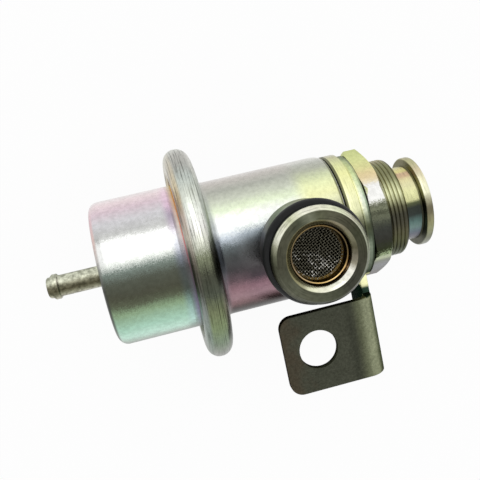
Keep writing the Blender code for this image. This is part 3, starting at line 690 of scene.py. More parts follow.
HOUSING_PLATE = Plating(
    "housing_zinc",
    (
        Zone(-1.0, (
            (-90, "#8a9080"), (-40, "#8a9a8c"), (-20, "#8c938f"), (-9, "#54564d"), (3, "#5e5a50"), (11, "#8a8378"),
            (19, "#c9c3b4"), (30, "#c8b9ad"), (40, "#b8a585"), (50, "#dccfb0"), (65, "#d3cbb8"), (90, "#e8e6d8"),
        )),
        Zone(-0.0017, (
            (-90, "#8a9080"), (-62, "#a4a59f"), (-42, "#86977f"), (-30, "#879670"), (-20, "#7c8464"),
            (-10, "#51564a"), (0, "#4c4e42"), (8, "#868c72"), (16, "#e4e6d8"), (24, "#fcfbf6"), (32, "#f6faf0"),
            (42, "#dde2d6"), (52, "#cbd3cc"), (62, "#b6b7b1"), (74, "#c4c3bc"), (90, "#eceee4"),
        ), 0.0004),
        Zone(0.0018, (
            (-90, "#6c7a66"), (-68, "#a5a89f"), (-50, "#868a80"), (-35, "#6c7064"), (-20, "#7e7a68"),
            (-8, "#5c5f58"), (5, "#5e605a"), (14, "#84887e"), (26, "#b8c0b4"), (40, "#b8beb4"), (50, "#c4c9be"),
            (60, "#d8d9d0"), (90, "#e8e5df"),
        ), 0.0004),
        Zone(0.0030, (
            (-90, "#8c8782"), (-60, "#66605c"), (-42, "#8a7478"), (-26, "#8f7880"), (-8, "#50545a"), (5, "#565b62"),
            (14, "#8a929c"), (24, "#d4dadc"), (40, "#d8e2d2"), (55, "#c6cac0"), (70, "#c6c4bc"), (90, "#e8e5df"),
        ), 0.0002),
        Zone(0.0042, (
            (-90, "#5d5852"), (-68, "#4d4743"), (-60, "#2c2624"), (-52, "#4c3c3a"), (-45, "#84686a"),
            (-36, "#a3858b"), (-26, "#94747c"), (-18, "#645459"), (-10, "#4a4648"), (2, "#525555"), (9, "#6c7476"),
            (16, "#c0c9d2"), (22, "#f0f4f4"), (32, "#fefffc"), (40, "#effbdc"), (50, "#d4d9c8"), (62, "#b8bab0"),
            (75, "#d0cbc4"), (90, "#f3eeea"),
        )),
        # Near the port the dark band widens: painted shade and painted reflection from the port.
        Zone(0.0086, (
            (-90, "#5d5852"), (-68, "#4d4743"), (-60, "#282220"), (-52, "#483836"), (-45, "#806468"),
            (-36, "#a0828a"), (-26, "#90707a"), (-19, "#4e444a"), (-12, "#4a4648"), (-5, "#666465"),
            (4, "#8e9090"), (12, "#889094"), (18, "#9ca6ae"), (24, "#f1f6f2"), (32, "#fefffa"),
            (40, "#effbda"), (50, "#d4d9c8"), (62, "#b8bab0"), (75, "#cfcac3"), (90, "#f3eeea"),
        ), 0.0022),
        Zone(0.0235, (
            (-90, "#8f8c78"), (-60, "#68644f"), (-35, "#5a5646"), (-12, "#34332a"), (4, "#3c3a2e"),
            (15, "#5e5f4e"), (22, "#c9cba6"), (28, "#f2f4ca"), (35, "#fafbc2"), (45, "#f8fec8"), (53, "#dbe3ba"),
            (64, "#bcbfaf"), (74, "#c6c8be"), (84, "#efefe8"), (90, "#f6f5f0"),
        ), 0.0020),
        # Painted shadow line at the tube's rolled end.
        Zone(0.0315, (
            (-90, "#5a5a50"), (-20, "#33332a"), (0, "#26261e"), (20, "#7c7d5e"), (30, "#93946f"), (50, "#8a8c68"),
            (70, "#8b8d74"), (90, "#a8a898"),
        ), 0.00015),
        # Painted bright reflection along the joint with the outlet fitting.
        Zone(0.03193, (
            (-90, "#8c9096"), (-20, "#5c6068"), (0, "#54585e"), (16, "#b8c0d0"), (28, "#f2f5fb"), (50, "#d6dde8"),
            (70, "#c8ccd6"), (90, "#dfe2e8"),
        ), 0.00008),
    ),
    speckle=0.045,
    mottling=0.2,
    edge_tint="#f0f0f0",
    dull=(Dull(0.0030, 0.0040, 0.3),),
    ring_lines=0.9,
    ring_pitch=0.00022,
    ring_reach=(-0.0032, 0.0031),
)

OUTLET_PLATE = Plating(
    "outlet_zinc",
    (
        # Painted shade line at the shoulder's foot.
        Zone(-1.0, (
            (-90, "#32342c"), (-20, "#26271f"), (0, "#1f201a"), (20, "#6a6b50"), (50, "#7a7b5a"), (90, "#84846c"),
        )),
        Zone(0.03285, (
            (-90, "#4a4f40"), (-65, "#666c56"), (-50, "#5c5f4f"), (-30, "#4c4e40"), (-12, "#44463a"),
            (0, "#454839"), (7, "#84866a"), (14, "#e8eabc"), (24, "#feffcd"), (40, "#fcfcbe"), (50, "#fcfcb8"),
            (60, "#eff2b4"), (70, "#e2e5b2"), (80, "#dcdab0"), (90, "#efecd8"),
        ), 0.0001),
        Zone(0.0374, (
            (-90, "#8b8f80"), (-72, "#8a9084"), (-60, "#676e5c"), (-45, "#51543f"), (-30, "#5c5d44"),
            (-20, "#5a5844"), (-10, "#4a483c"), (0, "#48473c"), (9, "#66654e"), (17, "#b4b68e"), (25, "#d8dbae"),
            (33, "#c2c59a"), (42, "#9a9c76"), (50, "#8a8b68"), (62, "#888964"), (70, "#8e906c"), (80, "#a8a480"),
            (90, "#c8c19a"),
        ), 0.0003),
        Zone(0.0467, (
            (-90, "#6f706c"), (-62, "#717274"), (-48, "#6f7280"), (-40, "#6e7e88"), (-30, "#76928c"),
            (-20, "#587670"), (-10, "#28322c"), (2, "#2c3229"), (9, "#5e6440"), (13, "#e8e8ac"), (25, "#fefec0"),
            (38, "#fdf8c4"), (48, "#fbf0b8"), (55, "#e8c8a0"), (62, "#e2c29c"), (68, "#f6ec9c"), (80, "#f2e8a0"),
            (90, "#dcd8a4"),
        ), 0.0001),
        # Painted shade on the flange's back face.
        Zone(0.0506, (
            (-90, "#4a4a36"), (-20, "#3a3c30"), (0, "#33342a"), (25, "#757452"), (50, "#66633f"), (90, "#6a6648"),
        ), 0.0001),
        Zone(0.0511, (
            (-90, "#a0a18f"), (-62, "#a8aa9e"), (-48, "#8b8d7c"), (-30, "#969876"), (-20, "#8f8d6b"),
            (-8, "#726d57"), (0, "#746f5a"), (9, "#b0ad90"), (17, "#f4f3d2"), (25, "#fefddb"), (38, "#f8f2cc"),
            (50, "#dccfad"), (62, "#cbc69e"), (70, "#c6c498"), (80, "#c6c39a"), (90, "#d2cdaa"),
        ), 0.0001),
    ),
    speckle=0.02,
    edge_tint="#e0e0e0",
    dull=(Dull(0.0467, 0.0506, 0.35),),
    ring_lines=0.35,
    ring_pitch=0.0002,
    valleys=PaintedValleyShade(0.0421, 0.0464, 0.01112, 0.01126),
)

NUT_PLATE = Plating(
    "nut_zinc",
    (
        Zone(-1.0, (
            (-90, "#78706f"), (-73, "#7e8080"), (-60, "#86888a"), (-46, "#7a806c"), (-36, "#c8d2a8"),
            (-30, "#a8b890"), (-27, "#343a24"), (-17, "#383833"), (-8, "#3c3e39"), (-2, "#4a4d42"), (4, "#6e725e"),
            (8, "#484b3c"), (12, "#868a72"), (15, "#565a46"), (18, "#b8baa8"), (20, "#fcfcf8"), (34, "#fffefc"),
            (38, "#f4e9c8"), (44, "#efdcb0"),
            (50, "#efdcaa"), (60, "#e8e4a6"), (75, "#e2e8a4"), (90, "#d2da96"),
        )),
    ),
    speckle=0.05,
    drift=0.015,
    mottling=0.2,
    edge_tint="#e8e8e8",
)

NIPPLE_PLATE = Plating(
    "nipple_zinc",
    (
        Zone(-1.0, (
            (-90, "#e6e5d8"), (-68, "#eceadc"), (-52, "#cfcdbb"), (-38, "#a3a28b"), (-24, "#787660"),
            (-10, "#635f4a"), (6, "#7a7762"), (20, "#a9a892"), (34, "#e6e8d2"), (60, "#e2e5cf"), (90, "#dcdfca"),
        )),
    ),
    speckle=0.07,
    mottling=0.75,
    roughness=0.36,
)

PORT_PLATE = Plating(
    "port_zinc",
    (
        # Inside the countersink: painted shade, with one painted glint.
        Zone(-1.0, (
            (-180, "#4a4429"), (-150, "#443e1e"), (-125, "#3a3416"), (-105, "#1c1606"), (-60, "#120e06"),
            (-46, "#4c443c"), (-38, "#d2c6bc"), (-30, "#6a5f58"), (-15, "#38301f"), (0, "#262212"), (50, "#342c16"),
            (85, "#4e4a28"), (120, "#62593e"), (150, "#58523a"), (180, "#4a4429"),
        )),
        Zone(0.00600, (
            (-180, "#7c7856"), (-160, "#8c8862"), (-142, "#9a9672"), (-130, "#c2c1a0"), (-120, "#f2f3d2"),
            (-100, "#fffee6"), (-60, "#fefef0"), (-38, "#fffdf0"), (-27, "#a09a86"), (-18, "#847e6e"), (0, "#5a5742"),
            (20, "#807e66"), (60, "#8c846e"), (80, "#726f50"), (120, "#7e7656"), (150, "#767250"), (180, "#7c7856"),
        ), 0.00006),
        Zone(0.00695, (
            (-180, "#4b4b3e"), (-140, "#606252"), (-120, "#5c5d4d"), (-80, "#535646"), (-60, "#44453c"),
            (-20, "#47463b"), (20, "#464838"), (45, "#4f4e40"), (65, "#5f5f4e"), (85, "#62644f"), (100, "#7c7f6c"),
            (115, "#525646"), (140, "#565647"), (180, "#4b4b3e"),
        ), 0.00005),
        Zone(0.00875, (
            (-180, "#4a4b3d"), (-160, "#626354"), (-140, "#6b6c5c"), (-100, "#70736a"), (-80, "#797c6c"),
            (-60, "#918e88"), (-40, "#9fa48d"), (-20, "#989d88"), (0, "#c2c8ae"), (20, "#cdd1ba"), (40, "#dcdac4"),
            (60, "#f5fbd8"), (80, "#fdfde4"), (100, "#fffeec"), (120, "#dadebc"), (132, "#f5f5de"),
            (145, "#f7f7e6"), (155, "#a6a790"), (165, "#6d6f5b"), (180, "#4a4b3d"),
        ), 0.00006),
        # The lip's side: painted shade.
        Zone(0.00962, (
            (-180, "#1f201d"), (-120, "#3a3b34"), (-60, "#4a4b44"), (0, "#3c3d36"), (90, "#2e302c"),
            (130, "#343632"), (180, "#1f201d"),
        ), 0.00002),
    ),
    around=Around.PORT,
    # The collar's bands carry on the body's painted highlights and painted shade.
    lower=(
        Zone(0.0262, (
            (-180, "#3e3f39"), (-150, "#54524a"), (-90, "#77766a"), (-30, "#8a8a78"), (30, "#9a9a84"),
            (70, "#a8ae8c"), (90, "#c6c9b0"), (110, "#c4ceb6"), (120, "#a2af9d"), (130, "#8d9887"), (140, "#7c7e7a"),
            (150, "#717277"), (160, "#6b5f5f"), (170, "#544d47"), (180, "#3e3f39"),
        ), 0.0004),
    ),
    speckle=0.012,
    drift=0.02,
    roughness=0.34,
    mottling=0.3,
    ring_lines=0.55,
    ring_pitch=0.00022,
    ring_reach=(0.0068, 0.0096),
    dull=(Dull(0.0060, 0.00695, 0.75, 0.2),),
)

BRACKET_PLATE = BracketPlate()
BRASS = Plating(
    "brass",
    (
        # The inner wall: painted shade.
        Zone(-1.0, (
            (-180, "#3a301c"), (-120, "#5c4c2a"), (-60, "#7a6436"), (-20, "#4a3c20"), (60, "#241d10"),
            (120, "#2c2514"), (180, "#3a301c"),
        )),
        # The lip: a painted highlight round its lower part, darker elsewhere.
        Zone(0.00542, (
            (-180, "#74664e"), (-150, "#a89272"), (-125, "#cdb283"), (-100, "#e4c07a"), (-80, "#f0cf90"),
            (-55, "#ecca8c"), (-40, "#e4c083"), (-25, "#94784a"), (0, "#66583c"), (40, "#6f5f42"), (80, "#7c6640"),
            (120, "#80704e"), (160, "#6f6248"), (180, "#74664e"),
        ), 0.00004),
    ),
    around=Around.PORT,
    roughness=0.26,
    mottling=0.2,
)
INNER_STEEL = PlainMetal("inner_steel", "#a5a5a3", 0.34)
HARD_STEEL = PlainMetal("hard_steel", "#b4b5b8", 0.18, 0.1)
SEAL_RUBBER = Rubber("seal_rubber")
DIAPHRAGM_RUBBER = Rubber("diaphragm_rubber", "#2b2b2c", "#3a3a3a", 0.6)
SCREEN_WIRE = ScreenWire()


# Shapes


@dataclass
class Turning:
    """A profile of (place, radius) points, turned about the X axis."""

    points: list[tuple[float, float]] = field(default_factory=list)

    def to(self, *points: tuple[float, float]) -> Turning:
        """Adds straight runs to the given points."""
        self.points.extend(points)
        return self

    def sweep(self, place: float, radius: float, size: float, start: float, end: float, steps: int = 8) -> Turning:
        """Adds an arc.

        Args:
            place: the arc's centre along the axis.
            radius: the centre's distance from the axis.
            size: the arc's own radius.
            start: first angle in degrees, 0 along the axis.
            end: last angle.
            steps: number of straight pieces.

        Returns:
            The profile itself.
        """
        for step in range(steps + 1):
            angle = math.radians(start + (end - start) * step / steps)
            self.points.append((place + size * math.cos(angle), radius + size * math.sin(angle)))
        return self

    def mesh(self, axis: Matrix, sides: int = 144, soft: float = 0.0001) -> bmesh.types.BMesh:
        """Turns the closed profile into a solid.

        Args:
            axis: the place that the profile's axis goes to.
            sides: steps of the full turn.
            soft: width of the rounding on its sharp rings, or 0.

        Returns:
            The new mesh.
        """
        bm = bmesh.new()
        corners = [bm.verts.new((place, 0.0, radius)) for place, radius in self.points]
        pairs = zip(corners, corners[1:] + corners[:1])
        edges = [bm.edges.new(pair) for pair in pairs if max(pair[0].co.z, pair[1].co.z) > 0.0]
        bmesh.ops.spin(
            bm, geom=corners + edges, cent=(0, 0, 0), axis=(1, 0, 0), angle=math.tau, steps=sides, use_merge=True
        )
        bmesh.ops.remove_doubles(bm, verts=bm.verts, dist=1e-7)
        bmesh.ops.recalc_face_normals(bm, faces=bm.faces)
        if soft:
            soften(bm, soft)
        bm.transform(axis)
        return bm


def plug(start: float, end: float, radius: float) -> Turning:
    """A plain round bar on the axis, to cut with."""
    return Turning().to((start, 0.0), (start, radius), (end, radius), (end, 0.0))


def smooth(mesh: bpy.types.Mesh) -> None:
    """Shades a mesh smooth and keeps its creases crisp."""
    mesh.shade_smooth()
    mesh.set_sharp_from_angle(angle=CREASE)


def new_corners(made: dict) -> list[bmesh.types.BMVert]:
    """The vertices that an extrusion made."""
    return [item for item in made["geom"] if isinstance(item, bmesh.types.BMVert)]


def soften(bm: bmesh.types.BMesh, width: float, angle: float = 32.0, segments: int = 2) -> None:
    """Rounds every edge that turns by more than an angle.

    Args:
        bm: the mesh.
        width: width of the rounding.
        angle: the least turn in degrees.
        segments: steps of the rounding.
    """
    sharp = [edge for edge in bm.edges if edge.is_manifold and edge.calc_face_angle() > math.radians(angle)]
    bmesh.ops.bevel(
        bm, geom=sharp, offset=width, segments=segments, profile=0.5, affect="EDGES", material=-1,
        offset_type="OFFSET", clamp_overlap=True,
    )


def loose_object(name: str, bm: bmesh.types.BMesh) -> bpy.types.Object:
    """Makes a linked object of a mesh, smooth with crisp edges.

    Args:
        name: the object's name.
        bm: the mesh, which is freed.

    Returns:
        The new object.
    """
    mesh = bpy.data.meshes.new(name)
    bm.to_mesh(mesh)
    bm.free()
    smooth(mesh)
    made = bpy.data.objects.new(name, mesh)
    bpy.context.scene.collection.objects.link(made)
    return made


def cut(target: bpy.types.Object, *tools: bmesh.types.BMesh) -> None:
    """Cuts tools from an object and keeps the result as its mesh.

    Args:
        target: the object.
        tools: closed meshes in the same frame, which are freed.
    """
    for tool in tools:
        bmesh.ops.recalc_face_normals(tool, faces=tool.faces)
        cutter = loose_object("cutter", tool)
        change = target.modifiers.new("cut", "BOOLEAN")
        change.operation = "DIFFERENCE"
        change.solver = "EXACT"
        change.object = cutter
        graph = bpy.context.evaluated_depsgraph_get()
        result = bpy.data.meshes.new_from_object(target.evaluated_get(graph))
        target.modifiers.clear()
        target.data = result
        bpy.data.objects.remove(cutter, do_unlink=True)
    smooth(target.data)


def settle(made: bpy.types.Object, finish: bpy.types.Material, stands_for: str) -> None:
    """Dresses a housing piece and ties it to the frame.

    Args:
        made: the piece, in place.
        finish: its material.
        stands_for: the node that it replaces.
    """
    made.data.materials.clear()
    made.data.materials.append(finish)
    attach(made, Rig.HOUSING.value)
    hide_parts(stands_for)
    LOG.info("%s: %d faces", made.name, len(made.data.polygons))


# Pieces


@dataclass
class VacuumEnd:
    """Deep-drawn cover and its hose nipple."""

    radius: float = 0.01615
    wall: float = 0.0011
    length: float = 0.0212
    corner: float = 0.0022
    flare: float = 0.0014
    flange_air_face: float = -0.00125
    flange_reach: float = 0.02095
    nipple_radius: float = 0.00238
    nipple_bore: float = 0.0014
    nipple_reach: float = 0.0126
    bead_radius: float = 0.00285
    bead_length: float = 0.0027
    collar_radius: float = 0.0031
    collar_length: float = 0.0007
    root_gap: float = 0.0002
    hole_gap: float = 0.00012
    seat_depth: float = 0.0004
    tip_round: float = 0.0007
    bead_foot: float = 0.0009
    bead_rise: float = 0.0016
    bead_fall: float = 0.0003

    def cover(self) -> bpy.types.Object:
        """Builds the cover.

        Returns:
            The piece.
        """
        inner = self.radius - self.wall
        fuel_face = self.flange_air_face + self.wall
        inside = self.wall - self.length
        bend = self.flare + self.wall
        inner_corner = self.corner - self.wall
        hole = self.nipple_radius + self.hole_gap
        profile = Turning().to((inside, hole))
        profile.sweep(inside + inner_corner, inner - inner_corner, inner_corner, 180, 90)
        profile.sweep(fuel_face - bend, inner + bend, bend, 270, 360)
        profile.to((fuel_face, self.flange_reach), (self.flange_air_face, self.flange_reach))
        profile.sweep(self.flange_air_face - self.flare, self.radius + self.flare, self.flare, 360, 270)
        profile.sweep(self.corner - self.length, self.radius - self.corner, self.corner, 90, 180)
        profile.to((-self.length, hole))
        return loose_object("drawn_cover", profile.mesh(BODY_AXIS, soft=0.00005))

    def nipple(self) -> bpy.types.Object:
        """Builds the hose nipple.

        Returns:
            The piece.
        """
        root = -self.length - self.root_gap
        tip = -self.length - self.nipple_reach
        step = self.bead_radius - self.nipple_radius
        profile = Turning().to((tip, self.nipple_bore))
        profile.sweep(tip + self.tip_round, self.nipple_radius - self.tip_round, self.tip_round, 180, 110, 5)
        profile.to((tip + self.bead_foot, self.nipple_radius - 0.00002))
        profile.sweep(tip + self.bead_rise, self.bead_radius - step, step, 140, 60, 5)
        profile.sweep(tip + self.bead_length - step, self.bead_radius - step, step, 90, 20, 4)
        profile.to((tip + self.bead_length + self.bead_fall, self.nipple_radius))
        foot = root - self.collar_length
        profile.to((foot, self.nipple_radius))
        profile.sweep(foot, self.collar_radius, self.collar_radius - self.nipple_radius, 270, 350, 5)
        profile.to((root, self.collar_radius), (root, self.nipple_radius))
        inside = self.seat_depth + self.wall - self.length
        profile.to((inside, self.nipple_radius), (inside, self.nipple_bore))
        return loose_object("hose_nipple", profile.mesh(BODY_AXIS, sides=64, soft=0.00005))

    def build(self) -> None:
        """Builds and dresses both pieces."""
        settle(self.cover(), COVER_PLATE.material(), "vacuum_cover")
        settle(self.nipple(), NIPPLE_PLATE.material(), "vacuum_nipple")


@dataclass
class Housing:
    """Drawn tube with its flange rolled over the cover's flange."""

    rim_radius: float = 0.0238
    wall: float = 0.0014
    curl_inner: float = 0.00145
    lip_radius: float = 0.0187
    tube_radius: float = 0.01525
    flare: float = 0.0018
    length: float = 0.0321
    shoulder_length: float = 0.0022
    shoulder_drop: float = 0.00045
    edge: float = 0.0003
    seam_depth: float = 0.00006
    port_bore: float = 0.0049
    port_span: Span = (0.008, 0.02)

    def build(self) -> None:
        """Builds and dresses the housing."""
        curl_outer = self.curl_inner + self.wall
        middle = self.rim_radius - curl_outer
        inner = self.tube_radius - self.wall
        bend = self.flare + self.wall
        end_radius = self.tube_radius - self.shoulder_drop
        profile = Turning().to((self.length, inner), (self.length, end_radius - self.edge))
        profile.sweep(self.length - self.edge, end_radius - self.edge, self.edge, 0, 80, 3)
        profile.to((self.length - self.shoulder_length / 2, self.tube_radius - self.shoulder_drop / 4))
        profile.to((self.length - self.shoulder_length, self.tube_radius))
        profile.sweep(curl_outer + self.flare, self.tube_radius + self.flare, self.flare, 270, 180)
        profile.sweep(0.0, middle, curl_outer, 0, 84, 12)
        profile.to((0.0, self.rim_radius - self.seam_depth))
        profile.sweep(0.0, middle, curl_outer, 96, 180, 12)
        lip = self.wall / 2
        profile.sweep(-self.curl_inner - lip, self.lip_radius + lip, lip, 180, 360, 8)
        profile.sweep(0.0, middle, self.curl_inner, 180, 0, 8)
        profile.sweep(self.curl_inner + bend, inner + bend, bend, 180, 270)
        made = loose_object("rolled_housing", profile.mesh(BODY_AXIS, sides=176, soft=0.0))
        cut(made, plug(*self.port_span, self.port_bore).mesh(PORT_AXIS, sides=64, soft=0.0))
        settle(made, HOUSING_PLATE.material(), "lower_housing")


@dataclass
class SideInlet:
    """Turned port with its O-ring, the brass ring and the woven screen."""

    height: float = 0.0312
    neck_radius: float = 0.0078
    collar_foot: float = 0.019
    collar_top: float = 0.0244
    collar_radius: float = 0.0097
    gland_radius: float = 0.0068
    lip_start: float = 0.0283
    lip_radius: float = 0.00965
    lead_in_depth: float = 0.00145
    lead_in_step: float = 0.0009
    bore: float = 0.0049
    screen_bore: float = 0.00595
    pocket: float = 0.0053
    mouth_radius: float = 0.00695
    mouth_depth: float = 0.00105
    wire_of_o_ring: float = 0.0018
    o_ring_gap: float = 0.00012
    tube_radius: float = 0.01525
    tube_span: Span = (-0.02, 0.06)
    foot: float = 0.0105
    ring_wall: float = 0.0005
    ring_depth: float = 0.0019
    gap: float = 0.0001
    dish_radius: float = 0.0052
    dish_depth: float = 0.0020
    screen_rim: float = 0.0272
    wire_pitch: float = 0.00051
    wire_radius: float = 0.000072

    def port(self) -> bpy.types.Object:
        """Builds the turned port on its saddle.

        Returns:
            The piece.
        """
        profile = Turning().to((self.foot, self.bore), (self.foot, self.neck_radius))
        profile.to((self.collar_foot, self.neck_radius), (self.collar_foot, self.collar_radius))
        profile.to((self.collar_top, self.collar_radius), (self.collar_top, self.gland_radius))
        profile.to((self.lip_start, self.gland_radius), (self.lip_start, self.lip_radius))
        profile.to((self.height - self.lead_in_depth, self.lip_radius))
        profile.to((self.height, self.lip_radius - self.lead_in_step), (self.height, self.mouth_radius))
        profile.to((self.height - self.mouth_depth, self.screen_bore))
        profile.to((self.height - self.pocket, self.screen_bore), (self.height - self.pocket, self.bore))
        made = loose_object("turned_port", profile.mesh(PORT_AXIS, soft=0.00012))
        cut(made, plug(*self.tube_span, self.tube_radius).mesh(BODY_AXIS, sides=176, soft=0.0))
        return made

    def o_ring(self) -> bpy.types.Object:
        """Builds the rubber ring in the gland.

        Returns:
            The piece.
        """
        middle = (self.collar_top + self.lip_start) / 2
        radius = self.gland_radius + self.o_ring_gap + self.wire_of_o_ring
        profile = Turning().sweep(middle, radius, self.wire_of_o_ring, 0, 348, 29)
        return loose_object("port_o_ring", profile.mesh(PORT_AXIS, sides=128, soft=0.0))

    def brass_ring(self) -> bpy.types.Object:
        """Builds the brass ring with its rounded lip over the screen's rim.

        Returns:
            The piece.
        """
        outer = self.screen_bore - self.gap
        inner = outer - self.ring_wall
        back = self.height - self.pocket + self.gap
        front = self.height - self.ring_depth
        lip = self.ring_wall / 2
        rest = self.screen_rim - self.gap
        profile = Turning().to((back, self.bore), (back, outer), (front - lip, outer))
        profile.sweep(front - lip, outer - lip, lip, 80, -80, 9)
        profile.to((front - lip, inner), (rest, inner), (rest, self.bore))
        return loose_object("brass_ring", profile.mesh(PORT_AXIS, sides=128, soft=0.00004))

    def dish(self, u: float, v: float) -> float:
        """Height of the dished cloth at a point of the port's plane, with a few soft dents."""
        share = min(math.hypot(u, v) / self.dish_radius, 1.0)
        dents = 0.00012 * math.sin(u * 2300.0 + 1.0) * math.sin(v * 1900.0 + 0.4)
        return self.screen_rim - self.dish_depth * (1.0 - share**1.8) + dents * (1.0 - share)

    def screen(self) -> bpy.types.Object:
        """Weaves the screen: wires both ways that pass over and under each other.

        Returns:
            The piece.
        """
        cloth = bpy.data.curves.new("cloth", "CURVE")
        cloth.dimensions = "3D"
        cloth.bevel_depth = self.wire_radius
        cloth.bevel_resolution = 0
        rows = int(self.dish_radius / self.wire_pitch)
        for along_u in (True, False):
            for row in range(-rows, rows + 1):
                across = row * self.wire_pitch
                reach = math.sqrt(max(self.dish_radius**2 - across**2, 0.0))
                count = max(int(2 * reach / self.wire_pitch * 3), 4)
                spline = cloth.splines.new("POLY")
                spline.points.add(count)
                for index, point in enumerate(spline.points):
                    along = -reach + 2 * reach * index / count
                    u, v = (along, across) if along_u else (across, along)
                    side = 1.0 if (row % 2 == 0) == along_u else -1.0
                    lift = side * self.wire_radius * 1.1 * math.cos(math.pi * along / self.wire_pitch)
                    point.co = (u, v, self.dish(u, v) + lift, 1.0)
        guide = bpy.data.objects.new("cloth", cloth)
        bpy.context.scene.collection.objects.link(guide)
        graph = bpy.context.evaluated_depsgraph_get()
        mesh = bpy.data.meshes.new_from_object(guide.evaluated_get(graph))
        bpy.data.objects.remove(guide, do_unlink=True)
        mesh.transform(Matrix.Translation(PORT_CENTRE) @ Matrix.Rotation(math.radians(28), 4, "Z"))
        mesh.shade_smooth()
        made = bpy.data.objects.new("woven_screen", mesh)
        bpy.context.scene.collection.objects.link(made)
        return made

    def build(self) -> None:
        """Builds and dresses the inlet's pieces."""
        settle(self.port(), PORT_PLATE.material(), "inlet_port")
        settle(self.o_ring(), SEAL_RUBBER.material(), "inlet_o_ring")
        settle(self.brass_ring(), BRASS.material(), "screen_ring")
        settle(self.screen(), SCREEN_WIRE.material(), "filter_screen")


